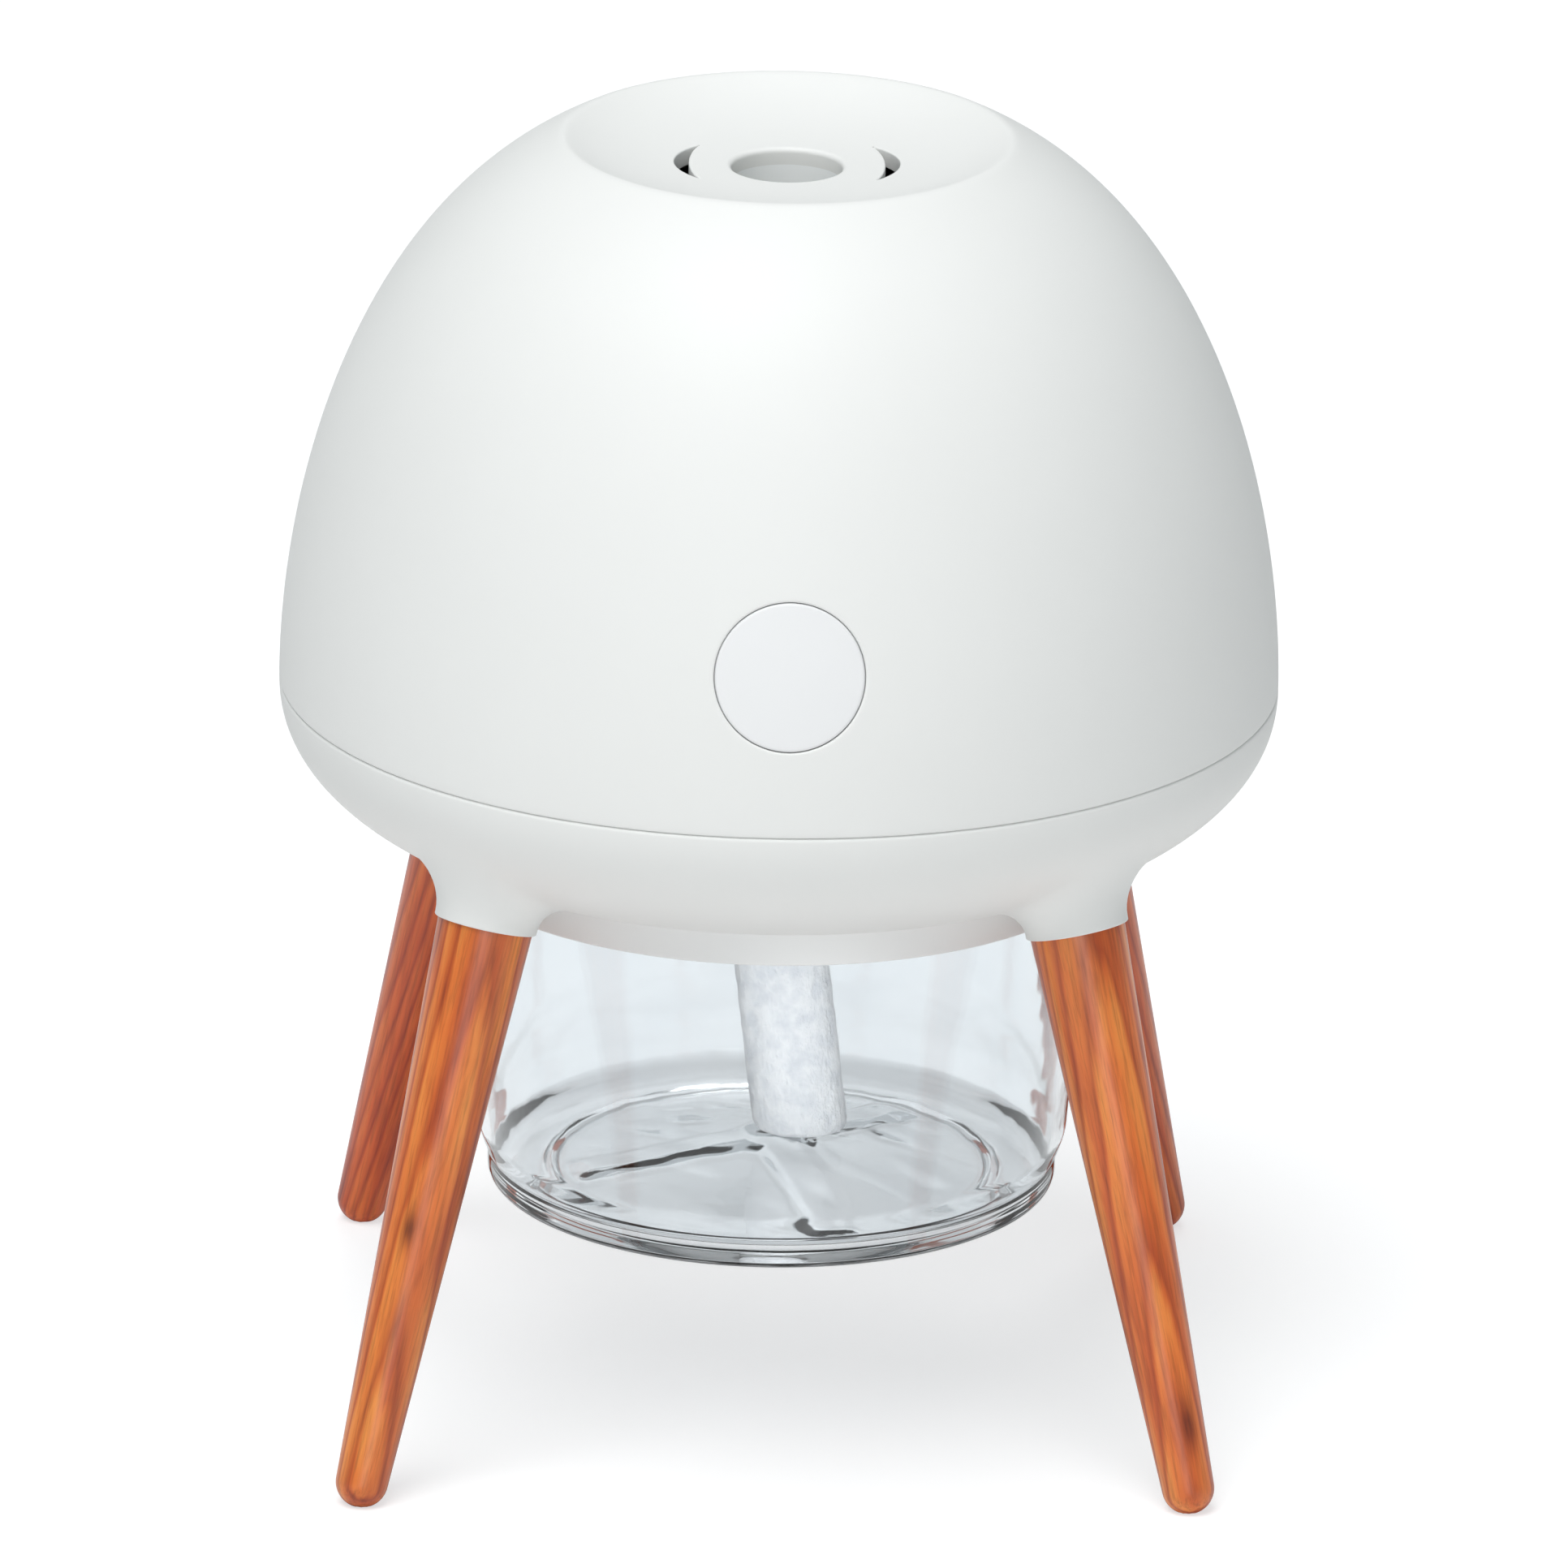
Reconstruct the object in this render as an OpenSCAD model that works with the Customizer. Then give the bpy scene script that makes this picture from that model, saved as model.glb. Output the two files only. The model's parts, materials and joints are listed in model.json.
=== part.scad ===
// Cool mist humidifier: an egg-shaped white housing on four splayed wooden legs,
// with a clear water tank that screws into a collar underneath and a cotton wick
// that carries water up to a piezo disc below the mist outlet.
// Origin: centre of the ground plane under the housing. Front is -Y, up is +Z.

/* [Housing] */
// Largest outside radius of the housing, at the seam
body_r = 65; // [63:0.5:67]
// Height of the seam between dome and lower shell
seam_z = 95.2; // [94:0.2:97]
// Rise of the dome curve above the seam, if it closed at the top
dome_rise = 78.4; // [77:0.2:80]
// Upright exponent of the dome curve
dome_up = 1.91; // [1.8:0.01:2.0]
// Sideways exponent of the dome curve
dome_out = 2.68; // [2.5:0.01:2.8]
// Depth of the lower shell curve, if it closed at the bottom
bowl_drop = 26.1; // [25.5:0.1:27]
// Exponent of the lower shell curve
bowl_exp = 2.24; // [2.1:0.01:2.4]
// Wall of both shells
wall = 2.2; // [1.8:0.1:2.4]

/* [Dish and outlets] */
// Radius of the dish's rim
dish_r = 29; // [27:0.5:31]
// Depth of the dish
dish_depth = 4; // [3:0.1:4.6]
// Radius of the mist outlet
mist_r = 7.2; // [6.8:0.1:7.4]
// Distance from the centre to the outer edge of a crescent slot
slot_reach = 14.6; // [14:0.1:16]
// Width of a crescent slot at its middle
slot_w = 1.9; // [1.5:0.1:2.2]

/* [Button] */
// Height of the button's centre
button_z = 116.1; // [112:0.1:120]
// Radius of the button cap
button_r = 9.5; // [8.5:0.1:10]
// Travel of the button
button_travel = 0.8; // [0.5:0.1:0.8]

/* [Legs] */
// Distance from the centre to a socket's mouth
leg_reach = 53.9; // [53.5:0.1:55]
// Height of a socket's mouth
mouth_z = 73.9; // [73.5:0.1:75]
// Angle of a leg from the upright
leg_splay = 16.9; // [15:0.1:18]
// Radius of a leg at its socket
leg_top_r = 6.2; // [5.8:0.1:6.2]
// Radius of a leg at its foot
leg_foot_r = 3.4; // [3:0.1:4]

/* [Tank] */
// Outside radius of the collar that the tank screws into
collar_r = 43.8; // [43.6:0.1:43.9]
// Height of the collar's lower edge
collar_z = 70.5; // [70:0.1:71]
// Outside radius of the tank's neck
neck_r = 40.8; // [40.6:0.1:40.9]
// Height of the tank's underside
tank_z = 26.2; // [25:0.1:27]
// Wall of the tank
tank_wall = 1.6; // [1.4:0.1:1.8]
// Rise of the tank's floor from its edge to its centre
punt = 4; // [3:0.2:4]
// Distance that the tank drops in one turn
thread_lead = 12; // [12:1:12]

/* [Wick] */
// Radius of the cotton wick
wick_r = 6.3; // [6:0.1:6.3]
// Height of the wick's lower end
wick_z = 33.5; // [32:0.5:40]

/* [Hidden] */
$fn = 96;
eps = 0.01;

// Seam and shells
seam_gap = 0.5;
lip_r = body_r - wall - 0.5;
lip_wall = 1.9;
lip_top = seam_z + 4.2;
bead = 0.25;
shelf_z = 78.2;
opening_r = collar_r + 0.3;
curve_steps = 26;

// Dish: it deepens with this power of the distance from its centre
dish_power = 3.2;
dome_end = acos(pow(dish_r / body_r, dome_out / 2));
dish_z = seam_z + dome_rise * pow(sin(dome_end), 2 / dome_up) - dish_depth;
slot_outer_r = 9.7;
slot_inner_r = 19.7;
slot_half = 7;

// Button: its own frame has +Z outward along the shell's normal and +Y up
button_y = dome_radius(button_z);
button_tilt = atan((dome_radius(button_z - 1) - dome_radius(button_z + 1)) / 2);
button_gap = 0.3;
sleeve_r = 11.4;
sleeve_depth = 7;
flange_r = 11;
flange_t = 1.1;
cap_wall = 1.6;
stem_r = 2;
stem_depth = 9.8;
plunger_r = 1.6;
plunger_len = 1.95;
switch_front = stem_depth + button_travel + 0.2;
board_front = 14;
board_t = 1.6;
board_back = board_front + board_t;
board_rise = 3;
board_size = [40, 30];
post_x = 16.5;
post_r = 2.7;
lead_socket_at = [[-13, -9], [10, 12]];

// Screws: holes that a thread bites in, and holes that it passes through
pilot_r = 0.95;
clear_r = 1.15;

// Legs, in a frame with its origin at the socket's mouth and +Z up the leg
leg_angles = [225, 315, 135, 45];
foot_height = 2.95;
leg_len = (mouth_z - foot_height) / cos(leg_splay);
socket_r = 6.7;
flare_r = 10;
flare_len = 8;
recess = 2.6;
tenon_r = 3.8;
tenon_len = 13.4;
boss_r = 5.6;
boss_len = 15;

// Collar and its deck
collar_bore = 42.4;
deck_z = 84;
deck_top = 86;
ear_r = 50;
ear_half = 3.5;
tube_hole = 8.3;

// Threads, three starts
starts = 3;
thread_step = 7.5;
thread_z = 76.2;
male_crest = 42;
female_crest = 41.2;
ridge_base = 0.9;
ridge_crest = 0.4;
rim_z = 82.5;

// Tank
belly_z = 34;
belly_r = 38.6;
foot_r = 37.2;
floor_z = 28.4;
foot_arc = 3;
floor_arc = 3.4;
punt_r = 27.4;
punt_slope = atan(punt / punt_r);
hub_r = 5.5;
rib_w = 6.4;
rib_h = 0.6;
rib_angles = [48, 192, 288];

// Wick tube and atomiser; below its tube the wick leans to the right
wick_bend = 66;
wick_lean = 7;
tube_in = 6.6;
tube_out = 8;
tube_end = 68;
tube_flange_r = 19;
tube_screw_r = 15.5;
seat_z = 147.5;
seat_r = 9.6;
cup_r = 13.5;
cup_top = 151;
plate_z = 149.2;
cap_top = 153;
cap_screw_r = 11.6;
plate_r = 8.1;
plate_t = 0.3;
seal_in = 6.9;
chimney_r = 8.6;
chimney_rim_r = 10.6;
chimney_foot = 154.45;

// Power inlet on the rear wall
shelf_top = 103.2;
inlet_board_t = 1.2;
inlet_z = shelf_top + inlet_board_t + 1.63;
inlet_face = dome_radius(inlet_z) - 0.8;
inlet_len = 7.4;
inlet_opening = [9.5, 3.8];
inlet_shell = [8.9, 3.2];
inlet_mouth = [8.3, 2.6];
inlet_screw_x = 5.8;
inlet_screw_y = 50.5;
inlet_board_y = 48;

// Leads inside the housing
lead_r = 1.1;
power_route = [
    [0, 47.9, 106.4], [0, 45, 106.4], [-3, 41, 106], [-12, 36, 105], [-23, 28, 104],
    [-31, 16, 103], [-34, 2, 102.5], [-32, -13, 102.5], [-26, -26, 102.5],
    [-18, -36, 102.7], on_board(lead_socket_at[0][0], lead_socket_at[0][1], 24.5),
    on_board(lead_socket_at[0][0], lead_socket_at[0][1], 20.15)
];
piezo_route = [
    on_board(lead_socket_at[1][0], lead_socket_at[1][1], 20.15),
    on_board(lead_socket_at[1][0], lead_socket_at[1][1], 23.5), [10, -34, 127], [9.5, -28, 133],
    [9, -24, 140], [8, -20, 146], [6.5, -16.5, 149], [5.2, -12.7, 149.3]
];

// ---- Curves ----

// Outside radius of the dome at a height
function dome_radius(z) =
    body_r * pow(1 - pow((z - seam_z) / dome_rise, dome_up), 1 / dome_out);

// A point on the dome curve at an angle, set in by a wall
function dome_point(a, t) = [
    (body_r - t) * pow(cos(a), 2 / dome_out),
    seam_z + (dome_rise - t) * pow(sin(a), 2 / dome_up)
];

// A point on the lower shell curve at an angle, set in by a wall
function bowl_point(a, t) = [
    (body_r - t) * pow(cos(a), 2 / bowl_exp),
    seam_z - (bowl_drop - t) * pow(sin(a), 2 / bowl_exp)
];

// The angle at which a curve with an exponent has come in to a radius
function angle_at(r, full, e) = acos(pow(r / full, e / 2));

// The angle at which the dome curve is half the seam gap up
function dome_start() = asin(pow(seam_gap / 2 / dome_rise, dome_up / 2));
function bowl_start() = asin(pow(seam_gap / 2 / bowl_drop, bowl_exp / 2));

// Height of the dish at a radius
function dish_height(r) = dish_z + dish_depth * pow(r / dish_r, dish_power);

// The board's frame: x to the right, y up, d inward from the shell's surface
function on_board(x, y, d) = [
    x,
    -button_y + y * sin(button_tilt) + d * cos(button_tilt),
    button_z + y * cos(button_tilt) - d * sin(button_tilt)
];

function unit(v) = v / norm(v);

// ---- Shared shapes ----

// A round tube swept along points, with square ends
module swept(points, r, sides = 8) {
    n = len(points);
    dirs = [for (i = [0:n - 1]) unit(points[min(i + 1, n - 1)] - points[max(i - 1, 0)])];
    rings = [
        for (i = [0:n - 1])
        let (
            side = unit(cross(dirs[i], [0.2, 0.1, 1])),
            up = cross(side, dirs[i])
        )
        for (k = [0:sides - 1])
        let (a = 360 * k / sides)
        points[i] + r * (cos(a) * side + sin(a) * up)
    ];
    walls = [
        for (i = [0:n - 2])
        for (k = [0:sides - 1])
        let (
            a = i * sides + k,
            b = i * sides + (k + 1) % sides
        )
        each [[a, b, b + sides], [a, b + sides, a + sides]]
    ];
    first = [[for (k = [sides - 1:-1:0]) k]];
    last = [[for (k = [0:sides - 1]) (n - 1) * sides + k]];
    polyhedron(rings, concat(first, walls, last));
}

// One helical ridge: base at root_r, crest at tip_r, from angle a0 through a span
module ridge(root_r, tip_r, z0, a0, span) {
    n = round(span / thread_step);
    rings = [
        for (i = [0:n])
        let (
            a = a0 + span * i / n,
            z = z0 + thread_lead * a / 360,
            fade = min(1, 0.55 + i / 6, 0.55 + (n - i) / 6),
            tip = root_r + (tip_r - root_r) * fade
        )
        for (p = [[root_r, -ridge_base], [tip, -ridge_crest], [tip, ridge_crest], [root_r, ridge_base]])
        [p[0] * cos(a), p[0] * sin(a), z + p[1]]
    ];
    walls = [
        for (i = [0:n - 1])
        for (k = [0:3])
        let (
            a = i * 4 + k,
            b = i * 4 + (k + 1) % 4
        )
        each tip_r > root_r
            ? [[a, b, b + 4], [a, b + 4, a + 4]]
            : [[a, b + 4, b], [a, a + 4, b + 4]]
    ];
    first = tip_r > root_r ? [[3, 2, 1, 0]] : [[0, 1, 2, 3]];
    last = tip_r > root_r
        ? [[for (k = [0:3]) n * 4 + k]]
        : [[for (k = [3:-1:0]) n * 4 + k]];
    polyhedron(rings, concat(first, walls, last));
}

module ring(r_out, r_in, z0, z1) {
    difference() {
        translate([0, 0, z0]) cylinder(r = r_out, h = z1 - z0);
        translate([0, 0, z0 - 1]) cylinder(r = r_in, h = z1 - z0 + 2);
    }
}

// A pan-headed screw, head upward, with the underside of its head at the origin
module screw(shank_r, length, head_r, head_h, slot = 0.6) {
    difference() {
        union() {
            translate([0, 0, -length]) cylinder(r = shank_r, h = length + eps, $fn = 32);
            cylinder(r1 = head_r, r2 = head_r * 0.8, h = head_h, $fn = 32);
        }
        for (a = [0, 90]) {
            rotate([0, 0, a])
                translate([-head_r * 0.55, -slot / 2, head_h * 0.5])
                    cube([head_r * 1.1, slot, head_h]);
        }
    }
}

module around(angles, r) {
    for (a = angles) {
        rotate([0, 0, a]) translate([r, 0, 0]) children();
    }
}

// Frames of the button and of a leg
module at_button() {
    translate([0, -button_y, button_z]) rotate([90 - button_tilt, 0, 0]) children();
}

module at_leg(angle) {
    rotate([0, 0, angle])
        translate([leg_reach, 0, mouth_z])
            rotate([0, -leg_splay, 0]) children();
}

// ---- Dome ----

// The dome as if it were solid, for trimming what grows from its inside
module dome_solid() {
    start = dome_start();
    rotate_extrude()
        polygon(concat(
            [[0, seam_z + seam_gap / 2]],
            [for (i = [0:curve_steps]) dome_point(start + (dome_end - start) * i / curve_steps, 0)],
            [for (i = [7:-1:0]) [dish_r * i / 8, dish_height(dish_r * i / 8)]]
        ));
}

module dome_skin() {
    start = dome_start();
    inner_end = angle_at(dish_r + 0.3, body_r - wall, dome_out);
    snap = seam_z + 3;
    rotate_extrude()
        polygon(concat(
            [for (i = [0:curve_steps]) dome_point(start + (dome_end - start) * i / curve_steps, 0)],
            [for (i = [9:-1:0])
                let (r = mist_r + (dish_r - mist_r) * i / 10)
                [r, dish_height(r)]],
            [for (i = [0:9])
                let (r = mist_r + (dish_r - 1.5 - mist_r) * i / 9)
                [r, dish_height(r) - wall]],
            [for (i = [curve_steps:-1:6])
                let (a = inner_end * i / curve_steps)
                dome_point(a, wall)],
            [[body_r - wall - 0.05, snap + 1], [body_r - wall + bead, snap],
             [body_r - wall, snap - 1], [body_r - wall, seam_z + seam_gap / 2]]
        ));
}

module crescent() {
    difference() {
        translate([slot_reach - slot_outer_r, 0, dish_z - 6])
            cylinder(r = slot_outer_r, h = 12);
        translate([slot_reach - slot_w - slot_inner_r, 0, dish_z - 7])
            cylinder(r = slot_inner_r, h = 14);
        for (s = [-1, 1]) {
            translate([0, s * (slot_half + 10), dish_z]) cube([60, 20, 30], center = true);
        }
    }
}

// Inlet mouth, a slot with round ends, run along +Y
module inlet_slot(size, y0, y1) {
    w = size[0];
    h = size[1];
    translate([-(w - h) / 2, y0, inlet_z - h / 2]) cube([w - h, y1 - y0, h]);
    for (s = [-1, 1]) {
        translate([s * (w - h) / 2, y0, inlet_z])
            rotate([-90, 0, 0]) cylinder(d = h, h = y1 - y0, $fn = 32);
    }
}

module dome_shell() {
    color("white")
    difference() {
        union() {
            dome_skin();
            intersection() {
                dome_solid();
                union() {
                    at_button() {
                        translate([0, 0, -sleeve_depth]) cylinder(r = sleeve_r, h = sleeve_depth + 3);
                        for (s = [-1, 1]) {
                            translate([s * post_x, board_rise, -board_front])
                                cylinder(r = post_r, h = board_front - 1, $fn = 32);
                        }
                    }
                    translate([-9, inlet_board_y, shelf_top - 2]) cube([18, 14, 2]);
                }
            }
        }
        at_button() {
            translate([0, 0, -20]) cylinder(r = button_r + button_gap, h = 30);
            for (s = [-1, 1]) {
                translate([s * post_x, board_rise, -board_front - 1])
                    cylinder(r = pilot_r, h = 7.5, $fn = 32);
            }
        }
        for (a = [0, 180]) rotate([0, 0, a]) crescent();
        inlet_slot(inlet_opening, 55, 70);
        for (s = [-1, 1]) {
            translate([s * inlet_screw_x, inlet_screw_y, shelf_top - 3])
                cylinder(r = pilot_r, h = 4, $fn = 32);
        }
    }
}

// ---- Lower shell ----

module bowl_skin() {
    start = bowl_start();
    out_end = angle_at(opening_r + 1.8, body_r, bowl_exp);
    edge = bowl_point(out_end, 0);
    in_start = angle_at(lip_r - lip_wall, body_r - wall, bowl_exp);
    in_end = asin(pow((seam_z - shelf_z) / (bowl_drop - wall), bowl_exp / 2));
    snap = seam_z + 3;
    rotate_extrude()
        polygon(concat(
            [for (i = [0:curve_steps]) bowl_point(start + (out_end - start) * i / curve_steps, 0)],
            [[edge[0] - 0.5, edge[1] - 0.3], [opening_r - 1, edge[1] - 0.3], [opening_r - 1, shelf_z]],
            [for (i = [12:-1:0]) bowl_point(in_start + (in_end - in_start) * i / 12, wall)],
            [[lip_r - lip_wall, lip_top], [lip_r - 0.2, lip_top], [lip_r, lip_top - 0.4],
             [lip_r + 0.05, snap + 0.7], [lip_r + bead + 0.2, snap], [lip_r, snap - 0.7],
             [lip_r, seam_z - seam_gap / 2]]
        ));
}

// The lower shell as if it were solid and half a wall smaller, for trimming what grows from its inside
module bowl_core() {
    out_end = angle_at(opening_r + 0.4, body_r - wall / 2, bowl_exp);
    rotate_extrude()
        polygon(concat(
            [[0, seam_z]],
            [for (i = [0:curve_steps]) bowl_point(out_end * i / curve_steps, wall / 2)],
            [[0, bowl_point(out_end, wall / 2)[1]]]
        ));
}

// Everything inside the lower shell, for cutting back what grows through it
module bowl_space() {
    in_end = asin(pow((seam_z - shelf_z) / (bowl_drop - wall), bowl_exp / 2));
    rotate_extrude()
        polygon(concat(
            [[0, shelf_z], bowl_point(in_end, wall)],
            [for (i = [11:-1:1]) bowl_point(in_end * i / 12, wall)],
            [[body_r - wall, seam_z + 20], [0, seam_z + 20]]
        ));
}

// A socket's outside, which flares in an arc from its mouth into the bowl
module flare() {
    rotate_extrude()
        polygon(concat(
            [[0, 0]],
            [for (i = [0:8])
                let (h = flare_len * i / 8)
                [socket_r + flare_r - sqrt(flare_r * flare_r - h * h), h]],
            [[0, flare_len]]
        ));
}

module lower_shell() {
    color("whitesmoke")
    difference() {
        union() {
            bowl_skin();
            difference() {
                for (a = leg_angles) at_leg(a) flare();
                bowl_space();
            }
            for (a = leg_angles) at_leg(a) translate([0, 0, 1]) cylinder(r = boss_r, h = boss_len - 1);
            intersection() {
                bowl_core();
                around([0:90:270], ear_r) translate([0, 0, shelf_z - 1])
                    cylinder(r = 3, h = deck_z - shelf_z + 1, $fn = 48);
            }
        }
        for (a = leg_angles) {
            at_leg(a) {
                translate([0, 0, -5]) cylinder(r = leg_top_r + 0.15, h = 5 + recess);
                cylinder(r = tenon_r + 0.1, h = tenon_len + 0.2, $fn = 48);
                cylinder(r = 1.5, h = boss_len + 2, $fn = 32);
            }
        }
        around([0:90:270], ear_r) translate([0, 0, deck_z - 5]) cylinder(r = pilot_r, h = 6, $fn = 32);
        translate([0, 0, collar_z - 5]) cylinder(r = opening_r, h = shelf_z - collar_z + 7);
    }
}

// ---- Collar ----

module tank_collar() {
    color("gainsboro")
    difference() {
        union() {
            rotate_extrude()
                polygon([
                    [collar_bore, collar_z], [collar_r - 0.4, collar_z], [collar_r, collar_z + 0.4],
                    [collar_r, deck_top], [tube_hole, deck_top], [tube_hole, deck_z],
                    [collar_bore, deck_z]
                ]);
            around([0:90:270], ear_r) {
                translate([0, 0, deck_z]) cylinder(r = ear_half, h = deck_top - deck_z, $fn = 48);
                translate([-8, -ear_half, deck_z]) cube([8, 2 * ear_half, deck_top - deck_z]);
            }
            for (k = [0:starts - 1]) {
                rotate([0, 0, 120 * k])
                    ridge(collar_bore + 0.3, female_crest, thread_z + thread_lead / 6, -170, 150);
            }
        }
        around([0:90:270], ear_r) translate([0, 0, deck_z - 1]) cylinder(r = 1.3, h = 4, $fn = 32);
        around([30:120:270], tube_screw_r) translate([0, 0, deck_z - 1])
            cylinder(r = pilot_r, h = 4, $fn = 32);
    }
}

module collar_screws() {
    color("silver")
    around([0:90:270], ear_r) translate([0, 0, deck_top]) screw(0.9, 6.5, 2.2, 1.5);
}

// ---- Legs ----

module leg(angle) {
    color("peru")
    difference() {
        at_leg(angle) {
            difference() {
                rotate_extrude()
                    polygon(concat(
                        [[0, tenon_len], [tenon_r - 0.5, tenon_len], [tenon_r, tenon_len - 0.5],
                         [tenon_r, recess - 0.1], [leg_top_r, recess - 0.1], [leg_top_r, 0]],
                        [for (a = [0:15:90])
                            [leg_foot_r * cos(a), -leg_len - leg_foot_r * sin(a)]]
                    ));
                translate([0, 0, 2.5]) cylinder(r = 1.25, h = 12, $fn = 32);
            }
        }
        translate([-100, -100, -10]) cube([200, 200, 10]);
    }
}

module leg_screws() {
    color("silver")
    for (a = leg_angles) at_leg(a) translate([0, 0, boss_len]) screw(1.2, 12, 2.6, 1.8);
}

// ---- Tank ----

module tank() {
    color("lightblue", 0.5)
    union() {
        rotate_extrude()
            polygon(concat(
                [[neck_r - tank_wall, rim_z], [neck_r, rim_z], [neck_r, 66], [neck_r - 0.2, 60],
                 [belly_r, belly_z], [belly_r - 1.2, belly_z - 3.4], [foot_r, belly_z - 3.6]],
                [for (a = [0:15:90])
                    [foot_r - foot_arc + foot_arc * cos(a), tank_z + foot_arc - foot_arc * sin(a)]],
                [[30, tank_z], [29, tank_z + 0.7], [0, tank_z + 0.7 + punt]],
                [[0, floor_z + punt], [punt_r, floor_z], [28.2, floor_z], [28.6, floor_z + 0.4], [29, floor_z + 0.4],
                 [29.4, floor_z]],
                [for (a = [90:-15:15])
                    [belly_r - 5.2 + floor_arc * cos(a), floor_z + floor_arc - floor_arc * sin(a)]],
                [[belly_r - tank_wall, belly_z], [neck_r - 0.2 - tank_wall, 60],
                 [neck_r - tank_wall, 66]]
            ));
        translate([0, 0, floor_z + punt - 1]) cylinder(r = hub_r, h = 1 + rib_h);
        for (a = rib_angles) {
            rotate([0, 0, a])
                translate([0, 0, floor_z + punt])
                    rotate([0, punt_slope, 0])
                        translate([3, -rib_w / 2, -0.3]) cube([23.5, rib_w, 0.3 + rib_h]);
        }
        for (k = [0:starts - 1]) {
            rotate([0, 0, 120 * k]) ridge(neck_r - 0.4, male_crest, thread_z, 10, 105);
        }
    }
}

module tank_gasket() {
    color("dimgray") ring(neck_r - 0.1, neck_r - tank_wall + 0.1, rim_z + 0.05, deck_z - 0.1);
}

// ---- Wick and atomiser ----

// How far the wick has leaned to the right at a height
function wick_x(z) =
    let (below = max(0, wick_bend - z))
    (below - 2 * (1 - exp(-below / 2))) * tan(wick_lean);

module wick() {
    bends = [wick_bend, wick_bend - 1, wick_bend - 2, wick_bend - 3, wick_bend - 5, wick_bend - 8];
    end = wick_z + wick_r * sin(wick_lean);
    color("ivory")
        swept(
            concat([[0, 0, plate_z - 0.1]], [for (z = bends) [wick_x(z), 0, z]], [[wick_x(end), 0, end]]),
            wick_r, 64
        );
}

module wick_tube() {
    color("gainsboro")
    difference() {
        rotate_extrude()
            polygon([
                [tube_in + 0.6, tube_end], [tube_out, tube_end], [tube_out, deck_top + 0.05],
                [tube_flange_r, deck_top + 0.05], [tube_flange_r, deck_top + 2],
                [tube_out, deck_top + 2], [tube_out, 140], [cup_r, 146], [cup_r, cup_top],
                [seat_r, cup_top], [seat_r, seat_z], [tube_in, seat_z], [tube_in, tube_end + 3.2],
                [tube_in + 0.6, tube_end + 3.2]
            ]);
        around([30:120:270], tube_screw_r) translate([0, 0, deck_top - 1])
            cylinder(r = 1.2, h = 4, $fn = 32);
        around([90:120:330], cap_screw_r) translate([0, 0, 146.6])
            cylinder(r = 0.9, h = 6, $fn = 32);
    }
}

module wick_grommet() {
    color("dimgray")
    union() {
        ring(tube_in + 0.55, wick_r + 0.05, tube_end - 0.9, tube_end + 3.1);
        ring(tube_out, wick_r + 0.05, tube_end - 0.9, tube_end - 0.05);
    }
}

module tube_screws() {
    color("silver")
    around([30:120:270], tube_screw_r) translate([0, 0, deck_top + 2]) screw(0.9, 3.8, 2, 1.4);
}

module piezo_seal() {
    color("dimgray")
    rotate_extrude()
        polygon([
            [seal_in, seat_z + 0.05], [seat_r - 0.1, seat_z + 0.05], [seat_r - 0.1, cup_top - 0.05],
            [seal_in, cup_top - 0.05], [seal_in, plate_z + 0.4], [plate_r + 0.1, plate_z + 0.4],
            [plate_r + 0.1, plate_z - 0.1], [seal_in, plate_z - 0.1]
        ]);
}

module piezo_plate() {
    color("silver") translate([0, 0, plate_z]) cylinder(r = plate_r, h = plate_t);
}

module piezo_ring() {
    color("khaki") ring(6.5, 3.2, plate_z + plate_t, plate_z + plate_t + 0.5);
}

module piezo_cap() {
    color("gainsboro")
    difference() {
        rotate_extrude()
            polygon([
                [6.2, cup_top + 0.05], [cup_r, cup_top + 0.05], [cup_r, cap_top - 0.5],
                [cup_r - 0.5, cap_top], [mist_r, cap_top]
            ]);
        around([90:120:330], cap_screw_r) translate([0, 0, cup_top - 1])
            cylinder(r = 1.1, h = 4, $fn = 32);
    }
}

module cap_screws() {
    color("silver")
    around([90:120:330], cap_screw_r) translate([0, 0, cap_top]) screw(0.8, 5.8, 1.7, 1.2, 0.5);
}

module chimney_seal() {
    color("dimgray") ring(9.2, mist_r + 0.1, cap_top + 0.05, chimney_foot - 0.05);
}

module mist_chimney() {
    color("whitesmoke")
    union() {
        ring(chimney_r, mist_r, chimney_foot, dish_z - wall - 0.1);
        ring(chimney_rim_r, mist_r, dish_z - wall - 1.7, dish_z - wall - 0.1);
    }
}

// ---- Button and board ----

module button_cap() {
    color("white")
    union() {
        difference() {
            intersection() {
                dome_solid();
                at_button() translate([0, 0, -sleeve_depth - flange_t - 0.1])
                    cylinder(r = button_r, h = sleeve_depth + 5);
            }
            at_button() translate([0, 0, -sleeve_depth - 5])
                cylinder(r = button_r - cap_wall, h = sleeve_depth + 2.4);
        }
        at_button() {
            ring(flange_r, button_r - cap_wall, -sleeve_depth - flange_t - 0.1, -sleeve_depth - 0.1);
            translate([0, 0, -stem_depth]) cylinder(r = stem_r, h = stem_depth - 1.8, $fn = 48);
        }
    }
}

module switch_plunger() {
    color("dimgray")
    at_button()
        translate([0, 0, -11.9]) cylinder(r = plunger_r, h = plunger_len, $fn = 48);
}

module tact_switch() {
    color("darkslategray")
    at_button()
        difference() {
            translate([-3.1, -3.1, -board_front]) cube([6.2, 6.2, board_front - switch_front]);
            translate([0, 0, -13]) cylinder(r = plunger_r + 0.3, h = 4, $fn = 48);
        }
}

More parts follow.
